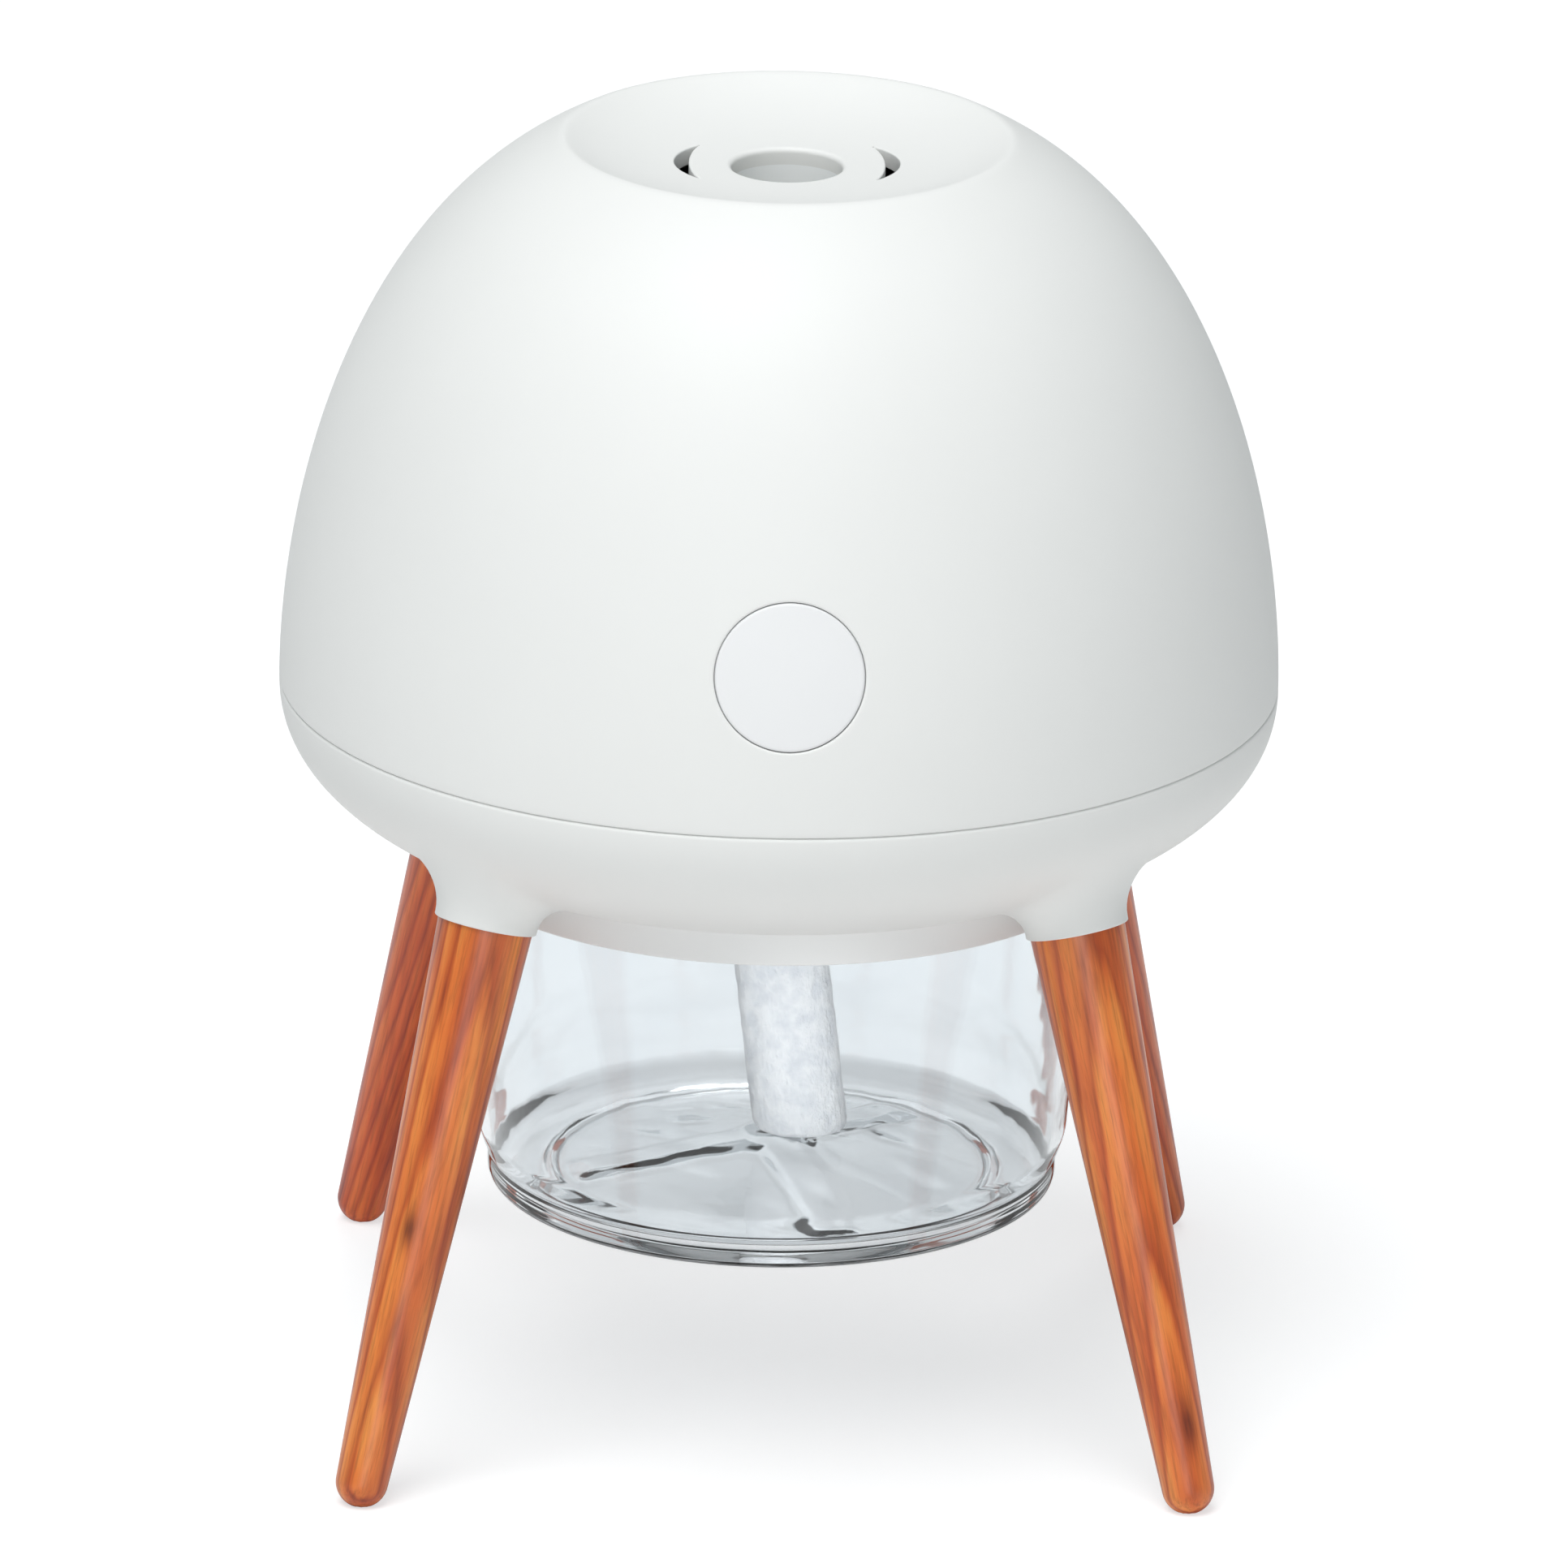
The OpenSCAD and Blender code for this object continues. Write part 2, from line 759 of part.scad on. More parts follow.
module circuit_board() {
    color("seagreen")
    at_button()
        difference() {
            translate([-board_size[0] / 2, board_rise - board_size[1] / 2, -board_back])
                cube([board_size[0], board_size[1], board_t - 0.05]);
            for (s = [-1, 1]) {
                translate([s * post_x, board_rise, -board_back - 1]) cylinder(r = clear_r, h = 4, $fn = 32);
            }
        }
}

module board_screws() {
    color("silver")
    at_button()
        for (s = [-1, 1]) {
            translate([s * post_x, board_rise, -board_back]) rotate([180, 0, 0])
                screw(0.9, 7, 1.9, 1.3, 0.5);
        }
}

// A part on the back of the board, grown inward from it
module on_back(x, y) {
    at_button() translate([x, y, -board_back]) rotate([180, 0, 0]) children();
}

module driver_chip() {
    color("black")
    on_back(5, 2)
        union() {
            translate([-3, -2, 0.2]) cube([6, 4, 1.3]);
            for (i = [-3:3], s = [-1, 1]) {
                translate([i * 0.75 - 0.15, s * 2.4 - 0.5, 0]) cube([0.3, 1, 0.4]);
            }
        }
}

module boost_coil() {
    color("darkgoldenrod")
    on_back(-7, 11)
        difference() {
            union() {
                cylinder(r = 3.8, h = 0.8, $fn = 48);
                translate([0, 0, 0.8 - eps]) cylinder(r = 3.1, h = 2.8, $fn = 48);
                translate([0, 0, 3.4]) cylinder(r = 3.8, h = 0.8, $fn = 48);
            }
            translate([0, 0, 2.5]) cylinder(r = 1.2, h = 3, $fn = 32);
        }
}

module capacitors() {
    color("steelblue")
    for (x = [-2, 4]) {
        on_back(x, -6)
            union() {
                cylinder(r = 2.5, h = 6.2, $fn = 48);
                translate([0, 0, 6.2 - eps]) cylinder(r1 = 2.5, r2 = 2.2, h = 0.4, $fn = 48);
            }
    }
}

module lead_sockets() {
    color("ivory")
    for (p = lead_socket_at) {
        on_back(p[0], p[1])
            translate([-3.2, -2.2, 0]) cube([6.4, 4.4, 4.5]);
    }
}

// ---- Power inlet ----

module power_inlet() {
    color("silver")
    union() {
        difference() {
            inlet_slot(inlet_shell, inlet_face - inlet_len, inlet_face);
            inlet_slot(inlet_mouth, inlet_face - inlet_len + 0.8, inlet_face + 1);
        }
        translate([-3.3, inlet_face - inlet_len + 0.5, inlet_z - 0.35]) cube([6.6, 5.6, 0.7]);
    }
}

module inlet_board() {
    color("seagreen")
    difference() {
        translate([-8, inlet_board_y, shelf_top + 0.02]) cube([16, 12.5, inlet_board_t - 0.02]);
        for (s = [-1, 1]) {
            translate([s * inlet_screw_x, inlet_screw_y, shelf_top - 1])
                cylinder(r = clear_r, h = 4, $fn = 32);
        }
    }
}

module inlet_socket() {
    color("ivory") translate([-2.8, inlet_board_y, shelf_top + inlet_board_t]) cube([5.6, 3.6, 3.6]);
}

module inlet_screws() {
    color("silver")
    for (s = [-1, 1]) {
        translate([s * inlet_screw_x, inlet_screw_y, shelf_top + inlet_board_t])
            screw(0.9, 3, 1.9, 1.2, 0.5);
    }
}

// ---- Leads ----

module power_lead() {
    color("black") swept(power_route, lead_r);
}

module piezo_lead() {
    color("firebrick") swept(piezo_route, lead_r);
}

dome_shell();
lower_shell();
tank_collar();
collar_screws();
leg(leg_angles[0]);  // leg_front_left
leg(leg_angles[1]);  // leg_front_right
leg(leg_angles[2]);  // leg_rear_left
leg(leg_angles[3]);  // leg_rear_right
leg_screws();
tank();
tank_gasket();
wick();
wick_tube();
wick_grommet();
tube_screws();
piezo_seal();
piezo_plate();
piezo_ring();
piezo_cap();
cap_screws();
chimney_seal();
mist_chimney();
button_cap();
switch_plunger();
tact_switch();
circuit_board();
board_screws();
driver_chip();
boost_coil();
capacitors();
lead_sockets();
power_inlet();
inlet_board();
inlet_socket();
inlet_screws();
power_lead();
piezo_lead();
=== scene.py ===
import json
import math

import bmesh
import bpy
import numpy as np
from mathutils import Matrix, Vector


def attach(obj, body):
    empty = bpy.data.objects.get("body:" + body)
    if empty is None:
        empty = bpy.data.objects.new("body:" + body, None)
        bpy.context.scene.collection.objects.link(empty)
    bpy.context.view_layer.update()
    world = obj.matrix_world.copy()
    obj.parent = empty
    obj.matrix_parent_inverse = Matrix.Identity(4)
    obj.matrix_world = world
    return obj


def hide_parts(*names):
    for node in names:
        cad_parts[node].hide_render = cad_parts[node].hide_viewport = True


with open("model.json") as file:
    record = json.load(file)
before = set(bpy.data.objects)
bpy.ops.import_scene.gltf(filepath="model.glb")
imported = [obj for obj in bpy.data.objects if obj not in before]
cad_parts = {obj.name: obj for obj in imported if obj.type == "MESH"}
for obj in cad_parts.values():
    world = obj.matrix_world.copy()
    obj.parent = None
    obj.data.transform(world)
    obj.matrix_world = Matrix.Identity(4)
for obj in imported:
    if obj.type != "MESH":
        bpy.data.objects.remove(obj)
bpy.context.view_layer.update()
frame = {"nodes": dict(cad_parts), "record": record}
millimetre = 0.001
mergeDistance = 2e-7  # metres, within which two points become one
around = 360  # points round each turned shape
columnAngle = 360 / around  # degrees from one of them to the next
print("frame loaded")


# shared shapes, all in millimetres

def softMin(a, b, soft):
    # the lower of two heights, with the crease between them melted over a width of about soft
    return np.minimum(a, b) - soft * np.log1p(np.exp(-np.abs(a - b) / soft))


def softMax(a, b, soft):
    # the higher of two heights, melted in the same way
    return -softMin(-a, -b, soft)


def smoothStep(x):
    # 0 below 0, 1 above 1, and an S curve between
    x = np.clip(x, 0, 1)
    return x * x * (3 - 2 * x)


def roundedPath(corners, step=1.0, arcSteps=6):
    # corners are (r, z) or (r, z, rounding); a rounded corner is a parabola between the two points
    # that lie the rounding away from it, at (1-t)^2 a + 2t(1-t) corner + t^2 b, and long straights
    # are cut to the step
    path = []
    pts = [np.array(c[:2], float) for c in corners]
    for n, corner in enumerate(corners):
        size = corner[2] if len(corner) > 2 else 0
        if size and 0 < n < len(corners) - 1:
            before, after = pts[n - 1] - pts[n], pts[n + 1] - pts[n]
            a = pts[n] + before * min(0.49, size / np.linalg.norm(before))
            b = pts[n] + after * min(0.49, size / np.linalg.norm(after))
            t = np.linspace(0, 1, arcSteps + 1)[:, None]
            path += list((1 - t) ** 2 * a + 2 * t * (1 - t) * pts[n] + t * t * b)
        else:
            path.append(pts[n])
    full = [path[0]]
    for p in path[1:]:
        parts = max(1, math.ceil(np.linalg.norm(p - full[-1]) / step))
        start = full[-1]
        full += [start + (p - start) * k / parts for k in range(1, parts + 1)]
    return np.array(full)


def turned(path, columns=around):
    # a profile of (r, z) carried round the upright axis: x = r cos(angle) and y = r sin(angle),
    # in a grid of rows x columns x 3
    angle = np.arange(columns) * 2 * math.pi / columns
    r, z = path[:, 0][:, None], path[:, 1][:, None]
    return np.stack([r * np.cos(angle), r * np.sin(angle), z + 0 * angle], -1)


def gridFaces(rows, columns, wrapRows=False, skip=()):
    # one four-sided face for each cell of a grid whose columns close into a ring;
    # skip lists windows (row0, row1, column0, column1) that get no faces
    i = np.arange(rows if wrapRows else rows - 1)
    i, j = np.meshgrid(i, np.arange(columns), indexing="ij")
    keep = np.ones(i.shape, bool)
    for row0, row1, column0, column1 in skip:
        inColumns = (j - column0) % columns < column1 - column0
        keep &= ~((i >= row0) & (i < row1) & inColumns)
    i, j = i[keep], j[keep]
    down, right = (i + 1) % rows, (j + 1) % columns
    return np.stack([i * columns + j, i * columns + right, down * columns + right,
                     down * columns + j], -1)


def makeMesh(name, parts, sharpAngle=35):
    # joins grids of points and their faces into one mesh, and makes points in one place one; a
    # third grid in a part gives the places that its pattern is worked out from
    points, faces, extra, start = [], [], [], 0
    for part in parts:
        grid = np.asarray(part[0], float).reshape(-1, 3)
        points.append(grid)
        faces.append(np.asarray(part[1]) + start)
        extra.append(part[2].reshape(-1, 3) if len(part) > 2 else grid)
        start += len(grid)
    mesh = bpy.data.meshes.new(name)
    mesh.from_pydata((np.concatenate(points) * millimetre).tolist(), [],
                     np.concatenate(faces).tolist())
    own = mesh.attributes.new("ownPlace", "FLOAT_VECTOR", "POINT")
    own.data.foreach_set("vector", (np.concatenate(extra) * millimetre).ravel().astype(np.float32))
    work = bmesh.new()
    work.from_mesh(mesh)
    bmesh.ops.remove_doubles(work, verts=work.verts, dist=mergeDistance)
    bmesh.ops.dissolve_degenerate(work, edges=work.edges, dist=mergeDistance / 2)
    work.to_mesh(mesh)
    work.free()
    mesh.shade_smooth()
    mesh.set_sharp_from_angle(angle=math.radians(sharpAngle))
    return mesh


def addPiece(name, parts, material, body="root", replaced=(), sharpAngle=35):
    # a finished piece in the scene, on its body and in its slot
    piece = bpy.data.objects.new(name, makeMesh(name, parts, sharpAngle))
    bpy.context.scene.collection.objects.link(piece)
    piece.data.materials.append(material)
    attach(piece, body)
    if replaced:
        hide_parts(*replaced)
    return piece


def toWorld(origin, axes, plan, height):
    # the origin, plus plan x and plan y along the first two axes and the height along the third
    ex, ey, ez = axes
    return origin + plan[..., :1] * ex + plan[..., 1:] * ey + height[..., None] * ez


def toPlan(origin, axes, points):
    # how far the points lie from the origin along the first two axes
    return np.stack([(points - origin) @ axes[0], (points - origin) @ axes[1]], -1)


def solveHeight(origin, axes, plan, inside, low, high):
    # how far above each plan point the surface lies: halves the span 40 times, and inside()
    # says which of the points tried are still within the solid
    lo = np.full(plan.shape[:-1], float(low))
    hi = np.full(plan.shape[:-1], float(high))
    for _ in range(40):
        mid = (lo + hi) / 2
        within = inside(toWorld(origin, axes, plan, mid))
        lo, hi = np.where(within, mid, lo), np.where(within, hi, mid)
    return lo


def windowEdge(row0, row1, column0, column1):
    # (row, column) round the edge of a window, one way round: along its first row, then up its
    # last column, back along its last row and down its first column
    rows, columns = list(range(row0, row1)), list(range(column0, column1))
    edge = [(row0, c) for c in columns] + [(r, column1) for r in rows]
    edge += [(row1, c + 1) for c in reversed(columns)] + [(r + 1, column0) for r in reversed(rows)]
    return np.array(edge)


def outward(loop):
    # unit directions away from a closed anticlockwise loop, square to its run
    run = np.roll(loop, -1, 0) - np.roll(loop, 1, 0)
    side = np.stack([run[:, 1], -run[:, 0]], -1)
    return side / np.linalg.norm(side, axis=1)[:, None]


# finishes

def newFinish(name):
    # a material with its nodes and the one shader it starts with
    finish = bpy.data.materials.new(name)
    finish.use_nodes = True
    nodes = finish.node_tree.nodes
    return finish, nodes, nodes["Principled BSDF"]


def join(output, socket):
    # a link from one node's output to another's input
    socket.id_data.links.new(output, socket)


def addNode(nodes, kind, **values):
    # a node with its properties and unlinked inputs set by name
    node = nodes.new(kind)
    for key, value in values.items():
        if key in node.inputs:
            node.inputs[key].default_value = value
        else:
            setattr(node, key, value)
    return node


def noiseNode(nodes, place, scale, detail=3.0, roughness=0.55):
    # cloudy noise, with about scale clouds to the metre
    node = addNode(nodes, "ShaderNodeTexNoise", Scale=scale, Detail=detail, Roughness=roughness)
    join(place, node.inputs["Vector"])
    return node.outputs["Fac"]


def scaledPlace(nodes, place, scale, shift=(0, 0, 0)):
    # place times scale, plus shift, along each axis; a small scale draws a pattern out
    node = addNode(nodes, "ShaderNodeMapping", Location=shift, Scale=scale)
    join(place, node.inputs["Vector"])
    return node.outputs["Vector"]


def multiplied(nodes, colour, shade, share=1.0):
    # colour x (1 - share + share x shade); sockets 6 and 7 are the node's two colours
    node = addNode(nodes, "ShaderNodeMix", data_type="RGBA", blend_type="MULTIPLY")
    node.inputs["Factor"].default_value = share
    join(colour, node.inputs[6])
    if isinstance(shade, tuple):
        node.inputs[7].default_value = (*shade, 1)
    else:
        join(shade, node.inputs[7])
    return node.outputs[2]


def colourRamp(nodes, value, stops):
    # straight runs of colour between the stops, each (value, colour)
    ramp = nodes.new("ShaderNodeValToRGB")
    while len(ramp.color_ramp.elements) < len(stops):
        ramp.color_ramp.elements.new(0.5)
    for element, (at, colour) in zip(ramp.color_ramp.elements, stops):
        element.position = at
        element.color = (*colour, 1)
    join(value, ramp.inputs["Fac"])
    return ramp.outputs["Color"]


def valueRange(nodes, value, low, high, fromLow=0.0, fromHigh=1.0):
    # low where the value is fromLow, high where it is fromHigh, and straight between
    node = nodes.new("ShaderNodeMapRange")
    limits = {"From Min": fromLow, "From Max": fromHigh, "To Min": low, "To Max": high}
    for key, limit in limits.items():
        node.inputs[key].default_value = limit
    join(value, node.inputs["Value"])
    return node.outputs["Result"]


def bumpFrom(nodes, value, strength, distance, previous=None):
    # shades the surface as if the value were its height
    node = addNode(nodes, "ShaderNodeBump", Strength=strength, Distance=distance)
    join(value, node.inputs["Height"])
    if previous is not None:
        join(previous, node.inputs["Normal"])
    return node.outputs["Normal"]


def plasticFinish(name, colour, roughness, grain=0.12, grainScale=2600, drift=0.015):
    # moulded plastic: a very fine spark-etched grain, faint cloudy colour drift and uneven gloss
    finish, nodes, shader = newFinish(name)
    place = nodes.new("ShaderNodeTexCoord").outputs["Object"]
    cloud = noiseNode(nodes, place, 35, 4)
    darker = tuple(c * (1 - drift) for c in colour)
    join(colourRamp(nodes, cloud, [(0.3, darker), (0.7, colour)]), shader.inputs["Base Color"])
    join(valueRange(nodes, cloud, roughness - 0.04, roughness + 0.04), shader.inputs["Roughness"])
    etched = noiseNode(nodes, place, grainScale, 2)
    join(bumpFrom(nodes, etched, grain, 0.00005), shader.inputs["Normal"])
    return finish


def metalFinish(name, colour, roughness):
    # metal with fine cloudy wear that changes its colour, gloss and surface a little
    finish, nodes, shader = newFinish(name)
    place = nodes.new("ShaderNodeTexCoord").outputs["Object"]
    scratch = noiseNode(nodes, place, 900, 4)
    darker = tuple(c * 0.8 for c in colour)
    join(colourRamp(nodes, scratch, [(0.3, darker), (0.7, colour)]), shader.inputs["Base Color"])
    join(valueRange(nodes, scratch, roughness - 0.08, roughness + 0.1), shader.inputs["Roughness"])
    shader.inputs["Metallic"].default_value = 1.0
    join(bumpFrom(nodes, scratch, 0.15, 0.00003), shader.inputs["Normal"])
    return finish


def boardFinish(name):
    # green solder mask with slightly raised tracks in short straight stretches, as a brick pattern
    finish, nodes, shader = newFinish(name)
    place = nodes.new("ShaderNodeTexCoord").outputs["Object"]
    tracks = addNode(nodes, "ShaderNodeTexBrick")
    for key, value in (("Scale", 260), ("Mortar Size", 0.06), ("Brick Width", 1.7), ("Row Height", 0.45)):
        tracks.inputs[key].default_value = value
    tracks.inputs["Color1"].default_value = (0.012, 0.11, 0.045, 1)
    tracks.inputs["Color2"].default_value = (0.014, 0.13, 0.05, 1)
    tracks.inputs["Mortar"].default_value = (0.03, 0.21, 0.09, 1)
    join(place, tracks.inputs["Vector"])
    join(tracks.outputs["Color"], shader.inputs["Base Color"])
    shader.inputs["Roughness"].default_value = 0.32
    join(bumpFrom(nodes, tracks.outputs["Fac"], 0.4, 0.00004), shader.inputs["Normal"])
    return finish


def woodFinish(name, grain):
    # the leg is cut from far out in the trunk, so its rings are nearly flat sheets; they lean a
    # little against the taper, and break out of the round face as nested arches. Slow noise warps
    # the sheets, a knot pushes them aside, fine pores run along the grain, and lacquer covers all
    wood = {"ringWidth": 0.0017, "pith": 0.055, "stretch": 0.13, "sway": 0.0022, "ripple": 0.000242,
            "knotPush": 0.0009, "knotStretch": 0.4, "poreStretch": 0.035, "patchShare": 0.9}
    finish, nodes, shader = newFinish(name)

    def reckon(operation, first, second=0.0):
        # one sum on two values, each a number or a socket
        node = addNode(nodes, "ShaderNodeMath", operation=operation)
        for socket, value in zip(node.inputs, (first, second)):
            if isinstance(value, (int, float)):
                socket.default_value = value
            else:
                join(value, socket)
        return node.outputs["Value"]

    own = addNode(nodes, "ShaderNodeAttribute", attribute_name="ownPlace").outputs["Vector"]
    rotate = addNode(nodes, "ShaderNodeVectorRotate", rotation_type="Z_AXIS", Angle=-grain["turn"])
    join(own, rotate.inputs["Vector"])
    facing = rotate.outputs["Vector"]
    drawn = scaledPlace(nodes, facing, (1, 1, wood["stretch"]), grain["shift"])
    sway = noiseNode(nodes, drawn, 130, 2.5, 0.5)
    ripple = noiseNode(nodes, drawn, 520, 3, 0.6)

    # the knot fades with the distance from it: exp(-(distance / size) ^ 2)
    short = (1, 1, wood["knotStretch"])
    away = addNode(nodes, "ShaderNodeVectorMath", operation="DISTANCE")
    away.inputs[1].default_value = [at * part for at, part in zip(grain["knot"], short)]
    join(scaledPlace(nodes, own, short), away.inputs[0])
    near = reckon("DIVIDE", away.outputs["Value"], grain["knotSize"])
    knot = reckon("POWER", math.e, reckon("MULTIPLY", reckon("MULTIPLY", near, near), -1.0))

    # the sheets: the distance from the pith, plus the lean, the noises and the knot's push
    split = nodes.new("ShaderNodeSeparateXYZ")
    join(facing, split.inputs["Vector"])
    x, y = reckon("ADD", split.outputs["X"], wood["pith"]), split.outputs["Y"]
    sheet = reckon("SQRT", reckon("ADD", reckon("MULTIPLY", x, x), reckon("MULTIPLY", y, y)))
    for push, size in ((split.outputs["Z"], grain["lean"]), (sway, wood["sway"]),
                       (ripple, wood["ripple"]), (knot, wood["knotPush"])):
        sheet = reckon("ADD", sheet, reckon("MULTIPLY", push, size))
    rings = colourRamp(nodes, reckon("FRACT", reckon("DIVIDE", sheet, wood["ringWidth"])), [
        (0.0, (0.62, 0.140, 0.026)), (0.14, (0.77, 0.230, 0.046)), (0.42, (0.75, 0.205, 0.040)),
        (0.70, (0.66, 0.158, 0.030)), (0.90, (0.46, 0.088, 0.018)), (1.0, (0.62, 0.140, 0.026))])

    # patches of lighter and redder wood along the leg, the stain, and thin dark pores
    patches = colourRamp(nodes, noiseNode(nodes, drawn, 260, 3), [
        (0.34, (0.66, 0.46, 0.40)), (0.48, (0.93, 0.84, 0.76)), (0.62, (1.04, 1.26, 1.30))])
    thin = scaledPlace(nodes, facing, (1, 1, wood["poreStretch"]))
    pores = noiseNode(nodes, thin, 2400, 3, 0.7)
    poreShade = valueRange(nodes, pores, 0.72, 1.03, 0.32, 0.55)
    knotShade = reckon("SUBTRACT", 1.0, reckon("MULTIPLY", knot, grain["knotDark"]))
    colour = multiplied(nodes, rings, patches, wood["patchShare"])
    colour = multiplied(nodes, colour, grain["stain"])
    colour = multiplied(nodes, colour, reckon("MULTIPLY", poreShade, knotShade))
    join(colour, shader.inputs["Base Color"])
    join(valueRange(nodes, pores, 0.42, 0.30, 0.3, 0.7), shader.inputs["Roughness"])
    shader.inputs["Coat Weight"].default_value = 0.2
    shader.inputs["Coat Roughness"].default_value = 0.22
    join(bumpFrom(nodes, pores, 0.2, 0.00008), shader.inputs["Normal"])
    return finish


def clearFinish(name):
    # clear blown plastic: nearly smooth, with a slow waviness in the wall; rays on their way to a
    # lamp go straight through it
    finish, nodes, shader = newFinish(name)
    place = nodes.new("ShaderNodeTexCoord").outputs["Object"]
    shader.inputs["Transmission Weight"].default_value = 1.0
    shader.inputs["IOR"].default_value = 1.46
    wave = noiseNode(nodes, place, 90, 2)
    join(colourRamp(nodes, wave, [
        (0.3, (0.855, 0.885, 0.905)), (0.7, (0.885, 0.91, 0.925))]), shader.inputs["Base Color"])
    join(valueRange(nodes, wave, 0.015, 0.05), shader.inputs["Roughness"])
    join(bumpFrom(nodes, wave, 0.12, 0.0006), shader.inputs["Normal"])
    shade, mix = nodes.new("ShaderNodeBsdfTransparent"), nodes.new("ShaderNodeMixShader")
    shade.inputs["Color"].default_value = (0.98, 0.985, 0.99, 1)
    join(nodes.new("ShaderNodeLightPath").outputs["Is Shadow Ray"], mix.inputs[0])
    join(shader.outputs[0], mix.inputs[1])
    join(shade.outputs[0], mix.inputs[2])
    join(mix.outputs[0], nodes["Material Output"].inputs["Surface"])
    return finish


def cottonFinish(name):
    # pressed fibre: strands drawn out along the stick, crossed by a coarser felt
    finish, nodes, shader = newFinish(name)
    own = addNode(nodes, "ShaderNodeAttribute", attribute_name="ownPlace").outputs["Vector"]
    drawn = scaledPlace(nodes, own, (1, 1, 0.3))
    strands = noiseNode(nodes, drawn, 1400, 5, 0.7)
    felt = noiseNode(nodes, own, 420, 4, 0.6)
    join(colourRamp(nodes, felt, [
        (0.35, (0.80, 0.82, 0.85)), (0.6, (0.97, 0.975, 0.98))]), shader.inputs["Base Color"])
    shader.inputs["Roughness"].default_value = 0.95
    shader.inputs["Sheen Weight"].default_value = 0.4
    shader.inputs["Sheen Roughness"].default_value = 0.6
    coarse = bumpFrom(nodes, felt, 0.8, 0.0009)
    join(bumpFrom(nodes, strands, 0.9, 0.0005, coarse), shader.inputs["Normal"])
    return finish


shellWhite = plasticFinish("shellWhite", (0.80, 0.805, 0.79), 0.55)
buttonWhite = plasticFinish("buttonWhite", (0.81, 0.815, 0.82), 0.52)
# painted light: the chimney gets a lit copy of the shell's white, lighter than the shell, so that its wall
# down in the mist outlet, which lies in shade, shows pale
chimneyLitWhite = plasticFinish("chimneyLitWhite", (0.93, 0.95, 0.955), 0.5)
collarWhite = plasticFinish("collarWhite", (0.80, 0.805, 0.80), 0.52)
clearWall = clearFinish("clearWall")
cotton = cottonFinish("cotton")
slotFinishes = {
    "shell_plastic": shellWhite,
    "button_plastic": buttonWhite,
    "collar_plastic": collarWhite,
    "inner_plastic": plasticFinish("innerWhite", (0.70, 0.70, 0.67), 0.5),
    "clear_plastic": clearWall,
    "silicone": plasticFinish("greySilicone", (0.30, 0.30, 0.30), 0.6, 0.3, 1500),
    "cotton": cotton,
    "screw_steel": metalFinish("zincSteel", (0.62, 0.62, 0.60), 0.35),
    "steel_plate": metalFinish("brightSteel", (0.70, 0.70, 0.70), 0.22),
    "piezo_ceramic": plasticFinish("silveredCeramic", (0.62, 0.57, 0.42), 0.45, 0.2, 1200, 0.1),
    "switch_plastic": plasticFinish("blackPlastic", (0.02, 0.02, 0.02), 0.45, 0.3),
    "board_laminate": boardFinish("solderMask"),
    "coil_copper": metalFinish("copperWire", (0.72, 0.33, 0.14), 0.35),
    "can_aluminium": metalFinish("drawnCan", (0.55, 0.58, 0.62), 0.3),
    "socket_plastic": plasticFinish("naturalNylon", (0.72, 0.68, 0.56), 0.5),
    "lead_jacket": plasticFinish("vinylJacket", (0.025, 0.025, 0.025), 0.5, 0.3, 900),
}
for part in frame["record"]["subparts"]:
    slotFinish = slotFinishes.get(part["material_slot"])
    if slotFinish:
        cadNode = frame["nodes"][part["node"]]
        cadNode.data.materials.clear()
        cadNode.data.materials.append(slotFinish)
print("finishes made")


# dome: a turned shell with one round hole, a slot and two crescents let into it; the windows are
# how far from a hole's middle the rows (in mm) and the columns (in degrees) are cut away

dome = {
    "radius": 65.0, "seam": 95.2, "rise": 78.4, "up": 1.91, "out": 2.68, "wall": 2.2,
    "gap": 0.005, "edge": 0.30, "dish": 29.0, "dishDepth": 4.0, "dishPower": 3.2, "crease": 0.2,
    "creaseReach": 45, "innerRim": 0.3, "innerDish": 1.5, "mist": 7.2, "mistLip": 0.7,
    "sideRows": 96, "dishRows": 44,
}
button = {
    "height": 116.1, "radius": 9.56, "lip": 9.62, "lipTop": 1.1, "lipLow": 3.0, "hole": 9.67,
    "edge": 0.4, "holeEdge": 0.3, "wall": 1.6, "roof": 2.7, "stem": 2.0, "stemDepth": 9.8,
    "sleeve": 11.4, "sleeveDepth": 7.0, "flange": 11.0, "flangeTall": 1.1,
    "windowRows": 12.8, "windowColumns": 12.5,
}
inlet = {"height": 106.03, "width": 9.5, "tall": 3.8, "edge": 0.3,
         "windowRows": 4.5, "windowColumns": 8}
crescent = {"reach": 14.6, "width": 1.9, "outerArc": 9.7, "innerArc": 19.7, "half": 7.4,
            "blunt": 0.4, "edge": 0.22, "windowOut": 17.2, "windowIn": 9.6, "windowColumns": 41}

def domeHeight(r, inset=0.0):
    # the dome curve: (z / rise) ^ up + (r / radius) ^ out = 1, measured up from the seam
    share = np.clip(r / (dome["radius"] - inset), 0, 1) ** dome["out"]
    return dome["seam"] + (dome["rise"] - inset) * (1 - share) ** (1 / dome["up"])


def domeRadius(z, inset=0.0):
    # the same curve the other way round: r from z
    share = np.clip((z - dome["seam"]) / (dome["rise"] - inset), 0, 1) ** dome["up"]
    return (dome["radius"] - inset) * (1 - share) ** (1 / dome["out"])


dishFloor = float(domeHeight(dome["dish"])) - dome["dishDepth"]


def dishHeight(r):
    # the dish: its floor plus depth x (r / dish) ^ power
    return dishFloor + dome["dishDepth"] * (r / dome["dish"]) ** dome["dishPower"]


